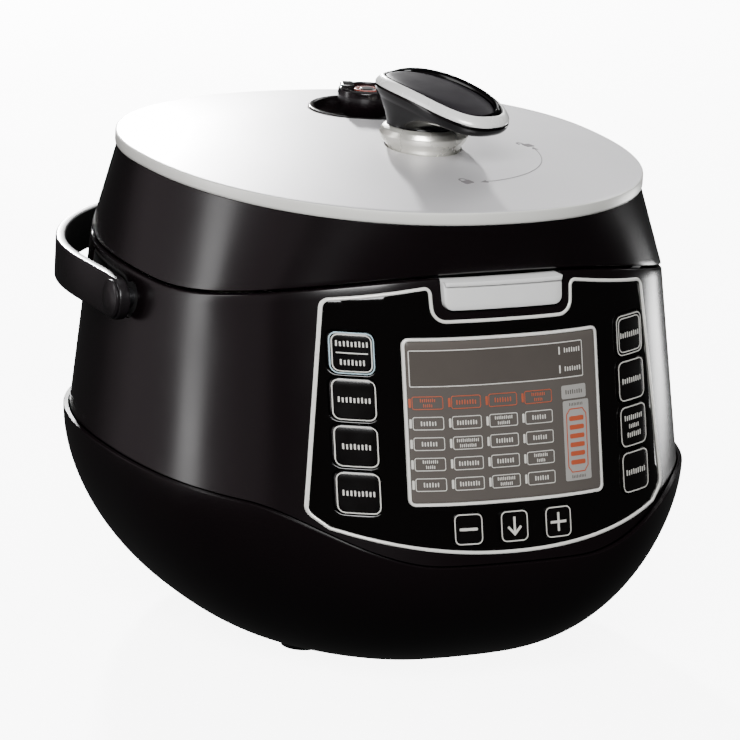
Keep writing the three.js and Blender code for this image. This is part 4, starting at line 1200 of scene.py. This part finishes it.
def catmull(a, b, c, d, t):
    """A smooth curve through four values, between the two in the middle."""
    return 0.5 * (
        2 * b + (c - a) * t + (2 * a - 5 * b + 4 * c - d) * t * t + (3 * b - a - 3 * c + d) * t ** 3
    )


def build_valve():
    profile = [(0, 212), (5, 212, 0.4), (6, 214, 0.4), (6, 281.5), (12.5, 281.5, 1), (15, 284, 3)]
    profile += [(16.7, 288.5, 5), (17, 294, 6), (16.8, 297.4, 1), (15.6, 298.2, 0.6)]
    profile += [(12.5, 298.2, 0.5), (12.5, 295.6, 0.5), (0, 295.6)]
    cap = lathe("valve_knob", profile, VALVE, 96)
    turn = Matrix.Rotation(math.radians(VALVE_TURN), 2)
    corners = [(-15.5, -5.5, 1.2), (-8, -5.5, 1.2), (-8, 5.5, 1.2), (-15.5, 5.5, 1.2)]
    outline = [turn @ p + VALVE.xy for p in rounded(corners)]
    rings = []
    for z, shrink in ((294.6, 0), (299.7, 0), (300.3, 0.3), (300.6, 0.9)):
        rings.append([Vector((p.x, p.y, z)) for p in grown(outline, -shrink)])
    join(cap, loft("valve_tab", rings))
    add(eased(cap, 0.3), "valve", GLOSS_BLACK, ["valve_cap"])
    ring = [(5.4, 295.95), (7.6, 295.95, 0.3), (7.6, 297.45, 0.5), (5.4, 297.45, 0.4), (5.4, 295.95)]
    add(lathe("valve_halo", ring, VALVE, 64), "valve", VALVE_ORANGE, ["valve_ring"])
    plug = [(0, 295.95), (5, 295.95, 0.2), (5, 297, 0.5), (3.6, 297.9, 0.8), (0, 297.9)]
    add(lathe("valve_weight", plug, VALVE, 48), "valve", STRAP_BLACK, ["valve_plug"])


# ---------------------------------------------------------------- bail
def bail_places():
    """Points along the strap from the right pivot round the back: (x, y, share of height)."""
    side_x = wall_plan(BAIL_Z, 8)[0]
    end = []
    for k in range(13):
        turn = math.radians(3 + 84 * k / 12)
        end.append((side_x, BAIL_Y - BAIL_HALF * math.cos(turn), math.sin(turn)))
    places = list(end)
    steps = 96
    for i in range(steps + 1):
        angle = i / steps * math.pi
        base = plan_point(wall_plan(BAIL_Z), angle, 0)
        gap = mix(5, 12.5, smooth_step(0, 80, base.y))
        point = plan_point(wall_plan(BAIL_Z, gap + BAIL_THICK / 2), angle, 0)
        places.append((point.x, point.y, 1))
    places += [(-x, y, share) for x, y, share in reversed(end)]
    return places


def faces_inwards(point, normal):
    return normal.x * point.x + normal.y * point.y < -0.7 * math.hypot(point.x, point.y)


def strap_section():
    """The strap's rounded corners: which corner, and how far out and up in its curve."""
    section = []
    for corner_x, corner_z in ((1, 1), (1, -1), (-1, -1), (-1, 1)):
        for k in range(5):
            turn = k / 4 * math.pi / 2
            out, up = math.cos(turn), math.sin(turn)
            if corner_x * corner_z > 0:
                out, up = up, out
            section.append((corner_x, corner_z, out, up))
    return section


def build_bail():
    places = bail_places()
    section = strap_section()
    rings = []
    for i, (x, y, share) in enumerate(places):
        before, after = places[max(0, i - 1)], places[min(len(places) - 1, i + 1)]
        along = Vector((after[0] - before[0], after[1] - before[1], 0)).normalized()
        outward = along.cross(Vector((0, 0, 1)))
        half_up = BAIL_HALF * share
        ease = min(BAIL_EDGE, half_up * 0.6)
        ring = []
        for sx, sz, out, up in section:
            across = sx * (BAIL_THICK / 2 - BAIL_EDGE + BAIL_EDGE * out)
            rise = sz * (half_up - ease + ease * up)
            ring.append(Vector((x, y, BAIL_Z + rise)) + outward * across)
        rings.append(ring)
    strap = loft("bail_band", rings, smooth_angle=50)
    boolean(strap, bail_rod("bore", BAIL_PIN + GAP, (-220, 220), 48))
    add(strap, "bail", [STRAP_BLACK, PAINTED_SHADE_BLACK], ["bail_strap"])
    # The inner faces, towards the housing, get painted shade: the darker, near-matte black.
    paint_faces(strap, 1, faces_inwards)

    side_x = wall_plan(BAIL_Z, 8)[0]
    face = side_x + BAIL_THICK / 2
    for side, label in ((-1, "left"), (1, "right")):
        profile = [(0, 0), (10.8, 0), (10.8, 0.9, 0.4), (9.6, 1.7, 1.5), (5, 2.7, 6), (0, 3)]
        disc = lathe("bail_disc_" + label, profile, (0, 0), 64)
        turn = Matrix.Rotation(side * math.pi / 2, 4, "Y")
        shift = Vector((side * (face + GAP), BAIL_Y, BAIL_Z))
        for vertex in disc.data.vertices:
            local = vertex.co * 1000 - Vector((0, SHIFT_Y, 0))
            vertex.co = place(turn @ local + shift)
        add(disc, "bail", STRAP_BLACK, ["bail_cap_" + label])
        ends = (side * wall_plan(BAIL_Z, -8.8)[0], side * face)
        pin = bail_rod("bail_axle_" + label, BAIL_PIN, ends, 48)
        add(eased(pin, 0.5), "housing", DARK_STEEL, ["bail_pin_" + label])


# ---------------------------------------------------------------- kept CAD nodes
KEPT = {
    "control_board": BOARD_GREEN,
    "power_module": BOARD_GREEN,
    "locking_flange": STEEL,
    "locking_ring": TURNED_STEEL,
    "knob_shaft": TURNED_STEEL,
    "latch_bar": STEEL,
}


def finish_kept_nodes():
    for name, material in KEPT.items():
        node = frame["nodes"][name]
        node.data.materials.clear()
        node.data.materials.append(material)


# ---------------------------------------------------------------- studio
CAMERA_AZIMUTH = math.radians(-26.318)
CAMERA_ELEVATION = math.radians(14.822)
CAMERA_ROLL = math.radians(3.094)
CAMERA_DISTANCE = 2893.6
TARGET = Vector((0, 0, 142.5))
CAMERA_LENS = 243.58
CAMERA_SHIFT = (0.003135, -0.007635)


def direction(azimuth, elevation):
    level = math.cos(elevation)
    return Vector((math.sin(azimuth) * level, -math.cos(azimuth) * level, math.sin(elevation)))


def build_camera():
    back = direction(CAMERA_AZIMUTH, CAMERA_ELEVATION)
    right = Vector((math.cos(CAMERA_AZIMUTH), math.sin(CAMERA_AZIMUTH), 0))
    up = back.cross(right)
    # The image is turned clockwise, so the camera leans the other way.
    cosine, sine = math.cos(CAMERA_ROLL), math.sin(CAMERA_ROLL)
    rolled_right = right * cosine + up * sine
    rolled_up = up * cosine - right * sine
    axes = Matrix((rolled_right, rolled_up, back)).transposed().to_4x4()
    axes.translation = place(TARGET + back * CAMERA_DISTANCE)
    data = bpy.data.cameras.new("camera")
    data.sensor_width = 36
    data.lens = CAMERA_LENS
    data.shift_x, data.shift_y = CAMERA_SHIFT
    data.clip_end = 100
    camera = linked("camera", data)
    camera.matrix_world = axes
    bpy.context.scene.camera = camera


def area_light(name, azimuth, elevation, distance, width, height, power, color=(1, 1, 1), aim=0.16):
    """A soft box seen from the cooker at an azimuth, where 0 is in front and 90 on its right."""
    data = bpy.data.lights.new(name, "AREA")
    data.shape = "RECTANGLE"
    data.size = width
    data.size_y = height
    data.energy = power
    data.color = color
    light = linked(name, data)
    outward = direction(math.radians(azimuth), math.radians(elevation))
    light.location = Vector((0, 0, aim)) + outward * distance
    light.rotation_euler = outward.to_track_quat("Z", "Y").to_euler()


def build_floor():
    floor_mesh = bpy.data.meshes.new("floor")
    edit = bmesh.new()
    bmesh.ops.create_circle(edit, cap_ends=True, segments=96, radius=14)
    edit.to_mesh(floor_mesh)
    edit.free()
    floor = linked("floor", floor_mesh)
    paint = surface("floor_paint", (0.9, 0.9, 0.9), (0.7, 0.85, 3), (60, 0.01), tint=0.01)
    shader = paint.node_tree.nodes["Principled BSDF"]
    set_inputs(shader, Emission_Color=(1, 1, 1, 1), Emission_Strength=7)
    floor_mesh.materials.append(paint)
    floor.location.z = -0.0003
    floor.visible_glossy = False
    floor.visible_diffuse = False


def build_world():
    """White where the camera sees it, and almost dark where it would light the cooker."""
    world = bpy.data.worlds.new("studio")
    bpy.context.scene.world = world
    world.use_nodes = True
    nodes, links = world.node_tree.nodes, world.node_tree.links
    seen = nodes["Background"]
    dim = nodes.new("ShaderNodeBackground")
    for background, strength in ((seen, 14), (dim, 0.03)):
        set_inputs(background, Color=(1, 1, 1, 1), Strength=strength)
    path = nodes.new("ShaderNodeLightPath")
    blend = nodes.new("ShaderNodeMixShader")
    links.new(path.outputs["Is Camera Ray"], blend.inputs["Fac"])
    links.new(dim.outputs["Background"], blend.inputs[1])
    links.new(seen.outputs["Background"], blend.inputs[2])
    links.new(blend.outputs["Shader"], nodes["World Output"].inputs["Surface"])


def build_lights():
    """Name, azimuth, elevation, distance, width, height and power of each soft box."""
    area_light("left_strip", -113, 12, 2.6, 0.5, 2.4, 20)
    area_light("left_fill", -112, 6, 3.6, 6, 3, 18, (1, 0.85, 0.9))
    area_light("right_low", 101, -5.6, 0.82, 0.24, 0.13, 1.3)
    area_light("back_key", 166, 18, 3, 0.16, 0.16, 200)
    area_light("back_right", 126, 34, 3, 1.4, 1.2, 22)
    area_light("top", 165, 72, 2.8, 2.4, 1.6, 10)
    area_light("front", -30, 36, 3.2, 1.6, 1.2, 150)


build_panel()
build_housing()
build_back()
build_release()
build_lid()
build_knob()
build_valve()
build_bail()
finish_kept_nodes()
build_floor()
build_world()
build_lights()
build_camera()
